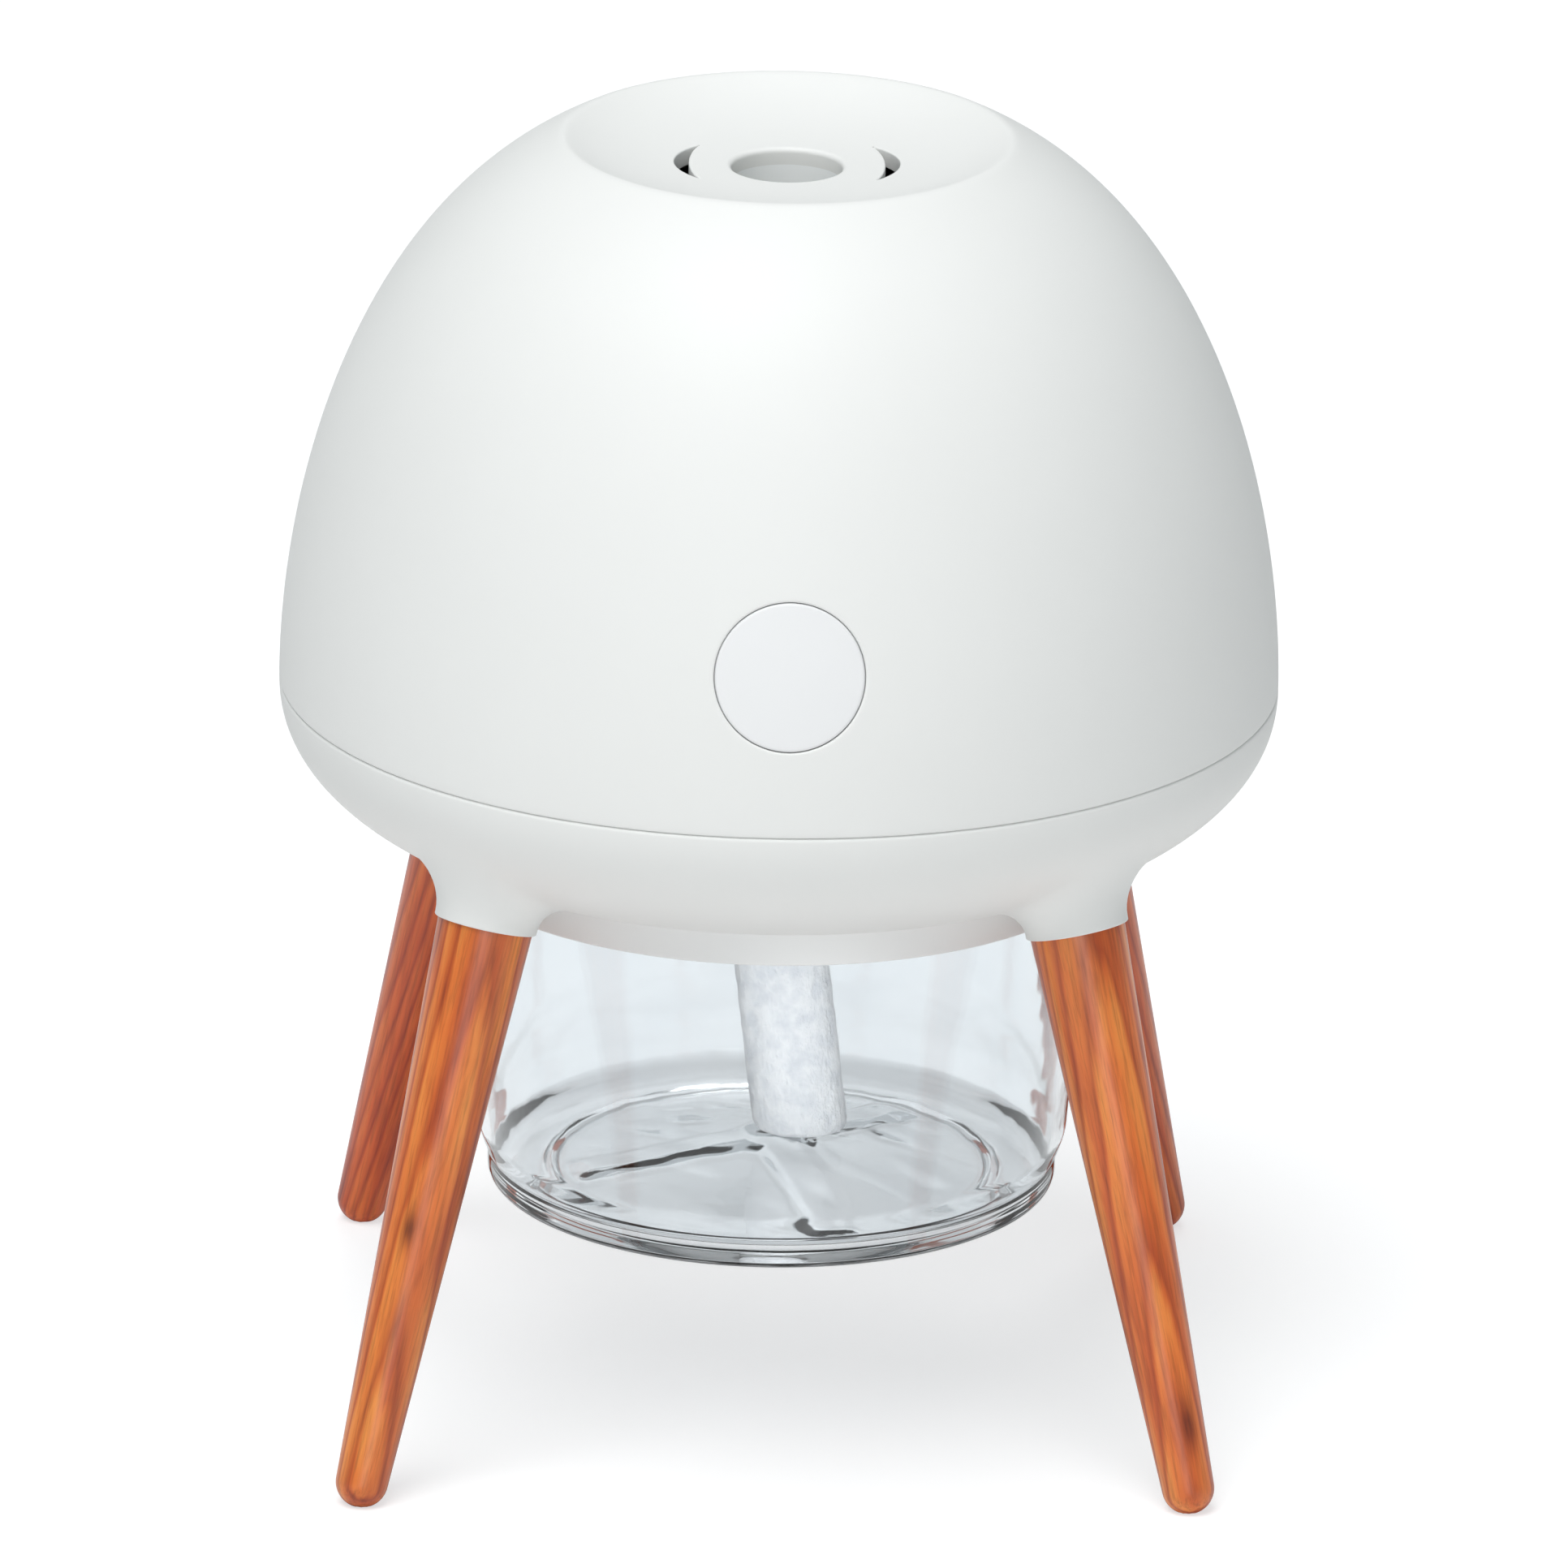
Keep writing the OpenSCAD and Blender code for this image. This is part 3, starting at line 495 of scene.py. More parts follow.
def domeRows(inset):
    # rows of (r, z) up the side at even steps of angle, with r = radius x cos ^ (2 / out) and
    # z = seam + rise x sin ^ (2 / up), then in across the dish; outside, the lower of the dome
    # and the dish is taken
    bottom = dome["gap"] + (dome["edge"] if inset == 0 else 0)
    startAngle = math.asin((bottom / (dome["rise"] - inset)) ** (dome["up"] / 2))
    rim = dome["dish"] + (dome["innerRim"] if inset else 0)
    endAngle = math.acos((rim / (dome["radius"] - inset)) ** (dome["out"] / 2))
    angle = np.linspace(startAngle, endAngle, dome["sideRows"])
    sideR = (dome["radius"] - inset) * np.cos(angle) ** (2 / dome["out"])
    sideZ = dome["seam"] + (dome["rise"] - inset) * np.sin(angle) ** (2 / dome["up"])
    lip = dome["mistLip"] if inset == 0 else 0
    dishEdge = dome["dish"] - (dome["innerDish"] if inset else 0)
    dishR = np.linspace(dishEdge, dome["mist"] + lip, dome["dishRows"] + 1)[1:]
    dishZ = dishHeight(dishR) - inset
    if inset == 0:
        inReach = dishHeight(np.minimum(sideR, dome["creaseReach"]))
        overSide = np.where(sideR < dome["creaseReach"], inReach, 1e3)
        sideZ = softMin(sideZ, overSide, dome["crease"])
        dishZ = softMin(dishZ, domeHeight(dishR), dome["crease"])
    return np.stack([np.concatenate([sideR, dishR]), np.concatenate([sideZ, dishZ])], -1)


def insideDome(inset):
    # a test of points: is (z / rise) ^ up + (r / radius) ^ out less than 1
    def test(points):
        r = np.hypot(points[..., 0], points[..., 1])
        high = np.clip((points[..., 2] - dome["seam"]) / (dome["rise"] - inset), 0, None)
        return high ** dome["up"] + (r / (dome["radius"] - inset)) ** dome["out"] < 1
    return test


def wallHeight(origin, axes, inset=0.0):
    # the height of the dome, or of its inner wall, over plan points; the inner is sought lower
    low, high = (-16, 2) if inset else (-12, 6)
    return lambda plan: solveHeight(origin, axes, plan, insideDome(inset), low, high)


buttonY = float(domeRadius(button["height"]))
buttonTilt = math.atan(float(domeRadius(button["height"] - 1) - domeRadius(button["height"] + 1)) / 2)
buttonOrigin = np.array([0, -buttonY, button["height"]])
buttonAxes = (np.array([1.0, 0, 0]), np.array([0, math.sin(buttonTilt), math.cos(buttonTilt)]),
              np.array([0, -math.cos(buttonTilt), math.sin(buttonTilt)]))


def ringRadius(plan, radius):
    # the points of a circle in the same directions as the plan points
    return plan / np.linalg.norm(plan, axis=-1)[..., None] * radius


def holeRings(grid, outerEdge, innerEdge, origin, axes, hole, edge, outerHeight, innerHeight,
              sleeve=None):
    # rings of points that fill a window round a hole: from the window's edge in to the hole over
    # the outer surface, round the hole's rounded lip, through the wall and back out underneath
    away = outward(hole)
    outerPoints = grid[outerEdge[:, 0], outerEdge[:, 1]]
    innerPoints = grid[innerEdge[:, 0], innerEdge[:, 1]]
    outerPlan, innerPlan = toPlan(origin, axes, outerPoints), toPlan(origin, axes, innerPoints)
    lipPlan = hole + away * edge
    rings = [outerPoints]
    put = lambda plan, height: rings.append(toWorld(origin, axes, plan, height))
    for t in np.linspace(0, 1, 15)[1:]:
        plan = outerPlan + (lipPlan - outerPlan) * t
        put(plan, outerHeight(plan))
    lipHeight = outerHeight(lipPlan)
    for a in np.linspace(0, math.pi / 2, 6)[1:]:
        plan = hole + away * edge * (1 - math.sin(a))
        put(plan, lipHeight - edge * (1 - math.cos(a)))
    if sleeve is None:
        underHeight = innerHeight(hole)
        for t in (0.33, 0.66, 1.0):
            put(hole, (lipHeight - edge) * (1 - t) + underHeight * t)
        underPlan = hole
    else:
        radius, depth = sleeve
        underPlan = ringRadius(hole, radius)
        flat = np.full(len(hole), -depth)
        for t in (0.3, 0.6, 1.0):
            put(hole, (lipHeight - edge) * (1 - t) + flat * t)
        put(underPlan, flat)
        put(underPlan, innerHeight(underPlan))
    for t in np.linspace(0, 1, 7)[1:-1]:
        plan = underPlan + (innerPlan - underPlan) * t
        put(plan, innerHeight(plan))
    rings.append(innerPoints)
    return np.array(rings)


def crescentLoop(turn):
    # a crescent between two arcs: y runs with the sine of the turn, and x swings between the arcs
    # with its cosine, blunted so that the tips are round
    y = crescent["half"] * np.sin(turn)
    outer = crescent["reach"] - crescent["outerArc"] + np.sqrt(crescent["outerArc"] ** 2 - y ** 2)
    innerCentre = crescent["reach"] - crescent["width"] - crescent["innerArc"]
    inner = innerCentre + np.sqrt(crescent["innerArc"] ** 2 - y ** 2)
    swing = np.sign(np.cos(turn)) * np.abs(np.cos(turn)) ** crescent["blunt"]
    return np.stack([(outer + inner) / 2 + (outer - inner) / 2 * swing, y], -1)


def slotLoop(plan):
    # a slot with round ends, in the directions of the plan points: a straight side is met at
    # half / |sin a|, and past its end the round end at L |cos a| + sqrt(half^2 - (L sin a)^2)
    half, length = inlet["tall"] / 2, (inlet["width"] - inlet["tall"]) / 2
    angle = np.arctan2(plan[:, 1] * inlet["width"] / inlet["tall"] * 0.7, plan[:, 0])
    cosine, sine = np.cos(angle), np.sin(angle)
    side = half / np.maximum(np.abs(sine), 1e-6)
    end = length * np.abs(cosine) + np.sqrt(np.maximum(half ** 2 - (length * sine) ** 2, 0))
    reach = np.where(np.abs(side * cosine) <= length, side, end)
    return np.stack([reach * cosine, reach * sine], -1)


def makeDome():
    # both walls are one grid, closed by the lip of the mist outlet and the edge at the seam, which
    # are quarter circles; each hole's window is left out of it and filled with the hole's rings
    outer, inner = domeRows(0.0), domeRows(dome["wall"])
    count = len(outer)
    lipAngle = np.linspace(0, math.pi / 2, 8)[1:]
    lip = np.stack([dome["mist"] + dome["mistLip"] * (1 - np.sin(lipAngle)),
                    outer[-1, 1] - dome["mistLip"] * (1 - np.cos(lipAngle))], -1)
    edgeAngle = np.linspace(0, math.pi / 2, 6)[:-1]
    edge = np.stack([outer[0, 0] - dome["edge"] * (1 - np.sin(edgeAngle)),
                     dome["seam"] + dome["gap"] + dome["edge"] * (1 - np.cos(edgeAngle))], -1)
    rows = np.concatenate([outer, lip, inner[::-1], edge])
    grid = turned(rows)
    windows, parts = [], []

    def innerRow(row):
        # the inner wall's row that lies under a row of the outer wall
        return count + len(lip) + (count - 1 - row)

    def openHole(rowRange, middle, piece, origin, axes, shape, edge, heights, sleeve=None):
        # takes one window out of both walls and fills it; shape gives the hole's loop from the
        # window's edge, as (row, column) and as plan points
        low, high = rowRange
        reach = round(piece["windowColumns"] / columnAngle)
        window = (low, high, middle - reach, middle + reach)
        loop = windowEdge(*window)
        outerEdge = np.stack([loop[:, 0], loop[:, 1] % around], -1)
        innerEdge = np.stack([innerRow(outerEdge[:, 0]), outerEdge[:, 1]], -1)
        hole = shape(loop, toPlan(origin, axes, grid[outerEdge[:, 0], outerEdge[:, 1]]))
        rings = holeRings(grid, outerEdge, innerEdge, origin, axes, hole, edge, *heights, sleeve)
        parts.append((rings, gridFaces(len(rings), len(outerEdge))))
        windows.append(window)
        windows.append((innerRow(high), innerRow(low), middle - reach, middle + reach))

    def rowsBeside(piece):
        # the first rows of the side above the window's lower and upper limits
        z = outer[:dome["sideRows"], 1]
        return [int(np.argmax(z > piece["height"] + up * piece["windowRows"])) for up in (-1, 1)]

    def sideHole(piece, degrees, origin, axes, shape, edge, sleeve=None):
        heights = wallHeight(origin, axes), wallHeight(origin, axes, dome["wall"])
        middle = round(degrees / columnAngle)
        openHole(rowsBeside(piece), middle, piece, origin, axes, shape, edge, heights, sleeve)

    sideHole(button, 270, buttonOrigin, buttonAxes, lambda loop, plan: ringRadius(plan, button["hole"]),
             button["holeEdge"], (button["sleeve"], button["sleeveDepth"]))

    # the slot for the power lead at the back
    slotOrigin = np.array([0, float(domeRadius(inlet["height"])), inlet["height"]])
    slotAxes = (np.array([-1.0, 0, 0]), np.array([0, 0, 1.0]), np.array([0, 1.0, 0]))
    sideHole(inlet, 90, slotOrigin, slotAxes, lambda loop, plan: slotLoop(plan), inlet["edge"])

    # the crescents, each in a frame with x out to its side; round the window's edge the turn runs
    # as the angle of (how far out, how far along)
    rowRange = [int(np.argmax((outer[:, 0] < crescent[limit]) & (np.arange(count) >= dome["sideRows"])))
                for limit in ("windowOut", "windowIn")]
    farR, nearR = outer[rowRange, 0]
    dishHeights = (lambda plan: dishHeight(np.linalg.norm(plan, axis=-1)),
                   lambda plan: dishHeight(np.linalg.norm(plan, axis=-1)) - dome["wall"])
    for middle, sign in ((0, 1), (around // 2, -1)):
        def crescentFrom(loop, plan, middle=middle):
            along = (loop[:, 1] - middle) / round(crescent["windowColumns"] / columnAngle)
            across = (outer[loop[:, 0], 0] - (farR + nearR) / 2) / ((farR - nearR) / 2)
            return crescentLoop(np.arctan2(along, across))

        axes = (np.array([sign, 0, 0.0]), np.array([0, sign, 0.0]), np.array([0, 0, 1.0]))
        openHole(rowRange, middle, crescent, np.zeros(3), axes, crescentFrom, crescent["edge"], dishHeights)
    parts.insert(0, (grid, gridFaces(len(rows), around, True, windows)))
    return addPiece("domeShell", parts, shellWhite, replaced=["dome_shell"])


makeDome()
print("dome made")


# button cap

def makeButton():
    # a disc of the dome's own surface whose edge is a quarter circle, then the skirt with its lip,
    # the flange and the stem, as (radius, depth) rings along the button's axis
    columns = 128
    angle = np.arange(columns) * 2 * math.pi / columns
    circle = np.stack([np.cos(angle), np.sin(angle)], -1)
    surface = wallHeight(buttonOrigin, buttonAxes)
    place = lambda r, h: toWorld(buttonOrigin, buttonAxes, circle * r, h)
    flat = button["radius"] - button["edge"]
    rings = [place(flat * t, surface(circle * flat * t)) for t in np.linspace(0, 1, 24)]
    brink = surface(circle * flat)
    for a in np.linspace(0, math.pi / 2, 7)[1:]:
        rings.append(place(flat + button["edge"] * math.sin(a), brink - button["edge"] * (1 - math.cos(a))))
    inside = button["radius"] - button["wall"]
    top = button["sleeveDepth"] + 0.1
    foot = top + button["flangeTall"]
    for r, depth in (
            (button["radius"], button["lipTop"] - 0.2), (button["lip"], button["lipTop"]),
            (button["lip"], button["lipLow"]), (button["radius"], button["lipLow"] + 0.2),
            (button["radius"], top), (button["flange"], top), (button["flange"], foot),
            (inside, foot), (inside, button["roof"]), (button["stem"], button["roof"]),
            (button["stem"], button["stemDepth"] - 0.2), (button["stem"] - 0.2, button["stemDepth"]),
            (0, button["stemDepth"])):
        rings.append(place(r, np.full(columns, -float(depth))))
    rings = np.array(rings)[::-1]
    return addPiece("buttonCap", [(rings, gridFaces(len(rings), columns))], buttonWhite,
                    "button", ["button_cap"])


makeButton()
print("button made")


# lower shell: a turned bowl with four sockets that flare out of it

bowl = {
    "drop": 26.1, "power": 2.24, "gap": 0.005, "edge": 0.5, "lip": 62.3, "lipWall": 1.9,
    "lipTop": 99.4, "opening": 44.1, "underside": 75.45, "shelf": 78.2, "shelfReach": 47.4,
    "soften": 0.5, "corner": 0.8, "bend": 60.0,
}
leg = {
    "reach": 53.9, "mouth": 73.9, "splay": math.radians(16.9), "top": 6.2, "foot": 3.4,
    "footHeight": 2.95, "tenon": 3.8, "tenonTop": 13.4, "shoulder": 2.5, "socket": 6.7, "lip": 0.22,
    "bore": 6.35, "recess": 2.6, "flare": 8.0, "room": 0.92, "leastFlare": 0.3,
    "windowTop": 64.3, "windowColumns": 17.5,
}
legNames = {225: "front_left", 315: "front_right", 135: "rear_left", 45: "rear_right"}


def bowlCurve(r, inset=0.0):
    # the bowl curve: (z / drop) ^ power + (r / radius) ^ power = 1, measured down from the seam
    share = np.clip(r / (dome["radius"] - inset), 0, 1) ** bowl["power"]
    return dome["seam"] - (bowl["drop"] - inset) * (1 - share) ** (1 / bowl["power"])


def bowlHeight(r):
    # the bowl curve, flattened off at the underside round the opening
    return softMax(bowlCurve(r), bowl["underside"], bowl["soften"])


def insideBowl(points):
    # within the solid means above the bowl's surface; past its widest place the test leans outward
    r = np.hypot(points[..., 0], points[..., 1])
    beyond = np.clip(r - dome["radius"], 0, None) * 6
    return points[..., 2] > bowlHeight(r) + beyond


def legAxes(degrees):
    # the mouth of a leg's socket, with x up and outward, z down the leg and y square to both
    turn, splay = math.radians(degrees), leg["splay"]
    out = np.array([math.cos(turn), math.sin(turn), 0])
    ez = out * math.sin(splay) - np.array([0, 0, math.cos(splay)])
    ex = out * math.cos(splay) + np.array([0, 0, math.sin(splay)])
    return out * leg["reach"] + np.array([0, 0, leg["mouth"]]), (ex, np.cross(ez, ex), ez)


def socketRings(grid, edge, degrees):
    # from the window's edge in over the bowl, down a quarter-circle fillet of the size that there
    # is room for, along the socket to its mouth, over the lip and into the recess
    origin, axes = legAxes(degrees)
    points = grid[edge[:, 0], edge[:, 1]]
    plan = toPlan(origin, axes, points)
    height = lambda p: solveHeight(origin, axes, p, insideBowl, -40, 12)
    room = np.linalg.norm(plan, axis=1) - leg["socket"]
    depth = -height(ringRadius(plan, leg["socket"]))
    fillet = softMin(softMin(room * leg["room"], depth - 0.5, 0.4), leg["flare"], 0.8)
    fillet = np.clip(fillet, leg["leastFlare"], None)
    for _ in range(6):
        fillet = (np.roll(fillet, 1) + fillet * 2 + np.roll(fillet, -1)) / 4
    start = ringRadius(plan, 1) * (leg["socket"] + fillet)[:, None]
    rings = [points]
    put = lambda plan, height: rings.append(toWorld(origin, axes, plan, height))
    for t in np.linspace(0, 1, 9)[1:]:
        flat = plan + (start - plan) * t
        put(flat, height(flat))
    for a in np.linspace(0, math.pi / 2, 13)[1:]:
        flat = ringRadius(plan, 1) * (leg["socket"] + fillet * (1 - math.sin(a)))[:, None]
        put(flat, height(flat) + fillet * (1 - math.cos(a)))
    low = height(ringRadius(plan, leg["socket"])) + fillet
    lip = leg["lip"]
    for t in (0.34, 0.67, 1.0):
        put(ringRadius(plan, leg["socket"]), low * (1 - t) - lip * t)
    for a in np.linspace(0, math.pi / 2, 5)[1:]:
        mouth = ringRadius(plan, leg["socket"] - lip * (1 - math.cos(a)))
        put(mouth, np.full(len(plan), -lip * (1 - math.sin(a))))
    for radius, level in ((leg["bore"], 0), (leg["bore"], -leg["recess"]), (0.0, -leg["recess"])):
        put(ringRadius(plan, radius), np.full(len(plan), float(level)))
    return np.array(rings)


def makeLowerShell():
    # the bowl curve outside, an upright lip that the dome fits over, the same curve set in by the
    # wall inside, and a rounded corner at the opening, with a window cut for each socket
    widest = math.asin(bowl["bend"] / dome["radius"])
    outR = np.concatenate([np.linspace(bowl["opening"] + bowl["corner"], bowl["bend"], 40),
                           dome["radius"] * np.sin(np.linspace(widest, math.pi / 2, 22))[1:]])
    under = np.stack([outR, bowlHeight(outR)], -1)
    top = dome["seam"] - bowl["gap"]
    under = under[under[:, 1] < top - bowl["edge"]]
    down = (dome["seam"] - top + bowl["edge"]) / bowl["drop"]
    upper = dome["radius"] * (1 - down ** bowl["power"]) ** (1 / bowl["power"])
    edgeAngle = np.linspace(0, math.pi / 2, 6)
    edge = np.stack([upper - bowl["edge"] * (1 - np.cos(edgeAngle)),
                     top - bowl["edge"] * (1 - np.sin(edgeAngle))], -1)
    lipIn = bowl["lip"] - bowl["lipWall"]
    low = under[0, 1]
    insideCurve = [(r, bowlCurve(r, dome["wall"])) for r in np.linspace(lipIn, bowl["shelfReach"], 16)]
    rest = roundedPath([(bowl["lip"], top), (bowl["lip"], bowl["lipTop"], 0.3),
                        (lipIn, bowl["lipTop"], 0.3), *insideCurve,
                        (bowl["opening"], bowl["shelf"]), (bowl["opening"], low + bowl["corner"])], 1.5)
    corner = roundedPath([(bowl["opening"], low + bowl["corner"]),
                          (bowl["opening"], low, bowl["corner"] - 0.05),
                          (bowl["opening"] + bowl["corner"], low)], 1.0, 8)[1:-1]
    rows = np.concatenate([under, edge, rest, corner])
    grid = turned(rows)
    windows, parts = [], []
    rowHigh = int(np.argmax(under[:, 0] > leg["windowTop"]))
    reach = round(leg["windowColumns"] / columnAngle)
    for degrees in legNames:
        middle = round(degrees / columnAngle)
        edgeLoop = windowEdge(0, rowHigh, middle - reach, middle + reach)
        edgeLoop[:, 1] %= around
        rings = socketRings(grid, edgeLoop, degrees)
        parts.append((rings, gridFaces(len(rings), len(edgeLoop))))
        windows.append((0, rowHigh, middle - reach, middle + reach))
    parts.insert(0, (grid, gridFaces(len(rows), around, True, windows)))
    return addPiece("lowerShell", parts, shellWhite, replaced=["lower_shell"])


makeLowerShell()
print("lower shell made")


# legs; the grain is in the leg's own frame, in metres: turn is the way the sheets face, in radians,
# and z runs down the leg

legGrain = {
    "front_left": {
        "turn": -0.95, "lean": 0.075, "shift": (0.011, 0.004, 0.02), "stain": (0.97, 0.91, 0.86),
        "knot": (0.0042, -0.0022, 0.040), "knotSize": 0.0010, "knotDark": 0.6},
    "front_right": {
        "turn": 0.55, "lean": 0.085, "shift": (0.031, 0.014, 0.07), "stain": (0.98, 0.89, 0.86),
        "knot": (0.0040, 0.0012, 0.0655), "knotSize": 0.0014, "knotDark": 0.5},
    "rear_left": {
        "turn": 2.6, "lean": 0.06, "shift": (0.051, 0.024, 0.12), "stain": (0.90, 0.57, 0.48),
        "knot": (-0.004, 0.001, 0.030), "knotSize": 0.0010, "knotDark": 0.4},
    "rear_right": {
        "turn": 3.6, "lean": 0.07, "shift": (0.071, 0.034, 0.17), "stain": (0.90, 0.57, 0.48),
        "knot": (0.004, 0.002, 0.052), "knotSize": 0.0010, "knotDark": 0.4},
}


def makeLeg(degrees):
    # a turned leg: tenon, shoulder, a straight taper down to the foot, and a half-round end that
    # is cut off flat where it meets the ground
    name = legNames[degrees]
    origin, axes = legAxes(degrees)
    length = (leg["mouth"] - leg["footHeight"]) / math.cos(leg["splay"])
    tenon, top = leg["tenon"], -leg["tenonTop"]
    path = roundedPath([(0, top), (tenon - 0.5, top), (tenon, top + 0.5), (tenon, -leg["shoulder"]),
                        (leg["top"], -leg["shoulder"], 0.3), (leg["top"], 0), (leg["foot"], length)], 1.2)
    tip = np.linspace(0, math.pi / 2, 14)[1:]
    foot = np.stack([leg["foot"] * np.cos(tip), length + leg["foot"] * np.sin(tip)], -1)
    path = np.concatenate([path, foot])
    columns = 96
    local = turned(path, columns)
    world = origin + local @ np.array(axes)
    world[..., 2] = np.maximum(world[..., 2], 0)
    finish = woodFinish("lacqueredWood_" + name, legGrain[name])
    return addPiece("leg_" + name + "_wood", [(world, gridFaces(len(path), columns), local)], finish,
                    replaced=["leg_" + name])


for degrees in legNames:
    makeLeg(degrees)
print("legs made")


# collar and tank, with three helical ridges each

thread = {"starts": 3, "lead": 12.0, "maleZ": 76.2, "femaleZ": 78.2, "base": 0.9, "crest": 0.4,
          "fade": 12}
collar = {"radius": 43.8, "bore": 42.4, "low": 70.5, "deck": 84.0, "top": 86.0, "hole": 8.3,
          "crest": 41.2, "from": -170, "span": 150, "ear": 50, "earHalf": 3.5, "earRoot": 8}
tank = {
    "neck": 40.8, "wall": 1.6, "rim": 82.5, "threadLow": 74, "shoulder": 66, "taperZ": 60,
    "taper": 0.2, "belly": 38.6, "bellyZ": 34.0, "foot": 37.2, "under": 26.2, "hollow": 0.7,
    "hollowReach": 28.6, "footIn": 30, "floor": 28.4, "floorReach": 30.5,
    "crest": 42.0, "from": 10, "span": 105,
}
tankFloor = {
    "rise": 4.0, "reach": 27.4, "hub": 6.6, "hubSoft": 2.2, "ribs": (48, 192, 288), "ribHigh": 0.5,
    "ribHalf": 4.3, "ribSoft": 2.4, "ribIn": 2, "ribInSoft": 3, "ribOutSoft": 3.5, "ripple": 0.05,
    "rippleReach": 28, "rippleSoft": 6, "ring": 28.8, "ringHigh": 0.45, "ringWide": 0.45,
}


def ridgeShare(angle, z, level, start, span):
    # 1 on a ridge's crest, 0 clear of it and a straight flank between; a ridge climbs by the lead
    # in a turn, begins at the start angle and sinks into the wall at both ends of its span
    share = np.zeros(np.broadcast(angle, z).shape)
    for k in range(thread["starts"]):
        for lap in (-1, 0, 1):
            along = np.degrees(angle) + 360 * lap - 360 / thread["starts"] * k
            centre = level + thread["lead"] * along / 360
            flank = (thread["base"] - np.abs(z - centre)) / (thread["base"] - thread["crest"])
            ends = np.minimum(along - start, start + span - along) / thread["fade"]
            share = np.maximum(share, np.clip(flank, 0, 1) * np.clip(ends, 0, 1))
    return share


def threadedGrid(path, level, start, span, height, rows):
    # a turned grid whose chosen rows stand further out by share x height
    grid = turned(path)
    angle = np.arange(around) * 2 * math.pi / around
    share = ridgeShare(angle[None, :], path[:, 1][:, None], level, start, span) * rows[:, None]
    r = path[:, 0][:, None] + share * height
    grid[..., 0], grid[..., 1] = r * np.cos(angle), r * np.sin(angle)
    return grid


def earPlate(degrees):
    # an upright-sided plate with one round end, as rings from its underside's middle to its top's
    centre, half, root = collar["ear"], collar["earHalf"], collar["ear"] - collar["earRoot"]
    angle = np.linspace(-math.pi / 2, math.pi / 2, 25)
    outline = np.concatenate([np.stack([centre + half * np.cos(angle), half * np.sin(angle)], -1),
                              [[root, half], [root, -half]]])
    middle = np.broadcast_to([centre - 2, 0.0], outline.shape)
    low, high = collar["deck"], collar["top"] - 0.01
    flat = np.array([np.column_stack([ring, np.full(len(ring), z)]) for ring, z in (
        (middle, low), (outline, low), (outline, high), (middle, high))])
    c, s = math.cos(math.radians(degrees)), math.sin(math.radians(degrees))
    turn = np.array([[c, -s, 0], [s, c, 0], [0, 0, 1]])
    return flat @ turn.T, gridFaces(4, len(outline))


def makeCollar():
    # an upright ring with a ridged bore and a deck across its top, and four ears for the screws
    radius, bore, low, deck = collar["radius"], collar["bore"], collar["low"], collar["deck"]
    ridged = roundedPath([(bore, deck - 0.4), (bore, low + 0.4)], 0.22)
    outside = roundedPath([(bore, low + 0.4), (bore, low, 0.3), (radius, low, 0.5),
                           (radius, collar["top"], 0.4), (collar["hole"], collar["top"]),
                           (collar["hole"], deck), (bore, deck, 0.4), (bore, deck - 0.4)], 2)
    path = np.concatenate([ridged, outside[1:-1]])
    rows = (np.arange(len(path)) < len(ridged)).astype(float)
    grid = threadedGrid(path, thread["femaleZ"], collar["from"], collar["span"],
                        collar["crest"] - bore, rows)
    parts = [(grid, gridFaces(len(path), around, True))]
    parts += [earPlate(degrees) for degrees in range(0, 360, 90)]
    return addPiece("tankCollar", parts, collarWhite, replaced=["tank_collar"])


def floorRelief(x, y):
    # the tank floor: a low cone with a flat hub, three broad ribs down it, slow ripples as a
    # moulded floor has (three sines), and a thin ring round them all, exp(-((r - ring) / wide) ^ 2)
    shape = tankFloor
    r = np.hypot(x, y)
    cone = shape["rise"] * np.clip(1 - r / shape["reach"], 0, 1)
    relief = shape["ribHigh"] * smoothStep((shape["hub"] - r) / shape["hubSoft"])
    for degrees in shape["ribs"]:
        c, s = math.cos(math.radians(degrees)), math.sin(math.radians(degrees))
        along, aside = x * c + y * s, np.abs(y * c - x * s)
        rib = smoothStep((shape["ribHalf"] - aside) / shape["ribSoft"])
        rib = rib * smoothStep((along - shape["ribIn"]) / shape["ribInSoft"])
        rib = rib * smoothStep((shape["reach"] - along) / shape["ribOutSoft"])
        relief = np.maximum(relief, shape["ribHigh"] * rib)
    waves = np.sin(0.42 * x + 0.9 * np.sin(0.21 * y)) + np.sin(0.36 * y - 0.17 * x + 1.3)
    waves = waves + np.sin(0.61 * (x + y))
    ripple = shape["ripple"] * waves * smoothStep((shape["rippleReach"] - r) / shape["rippleSoft"])
    ring = shape["ringHigh"] * np.exp(-((r - shape["ring"]) / shape["ringWide"]) ** 2)
    return cone + np.maximum(relief + ripple, ring)


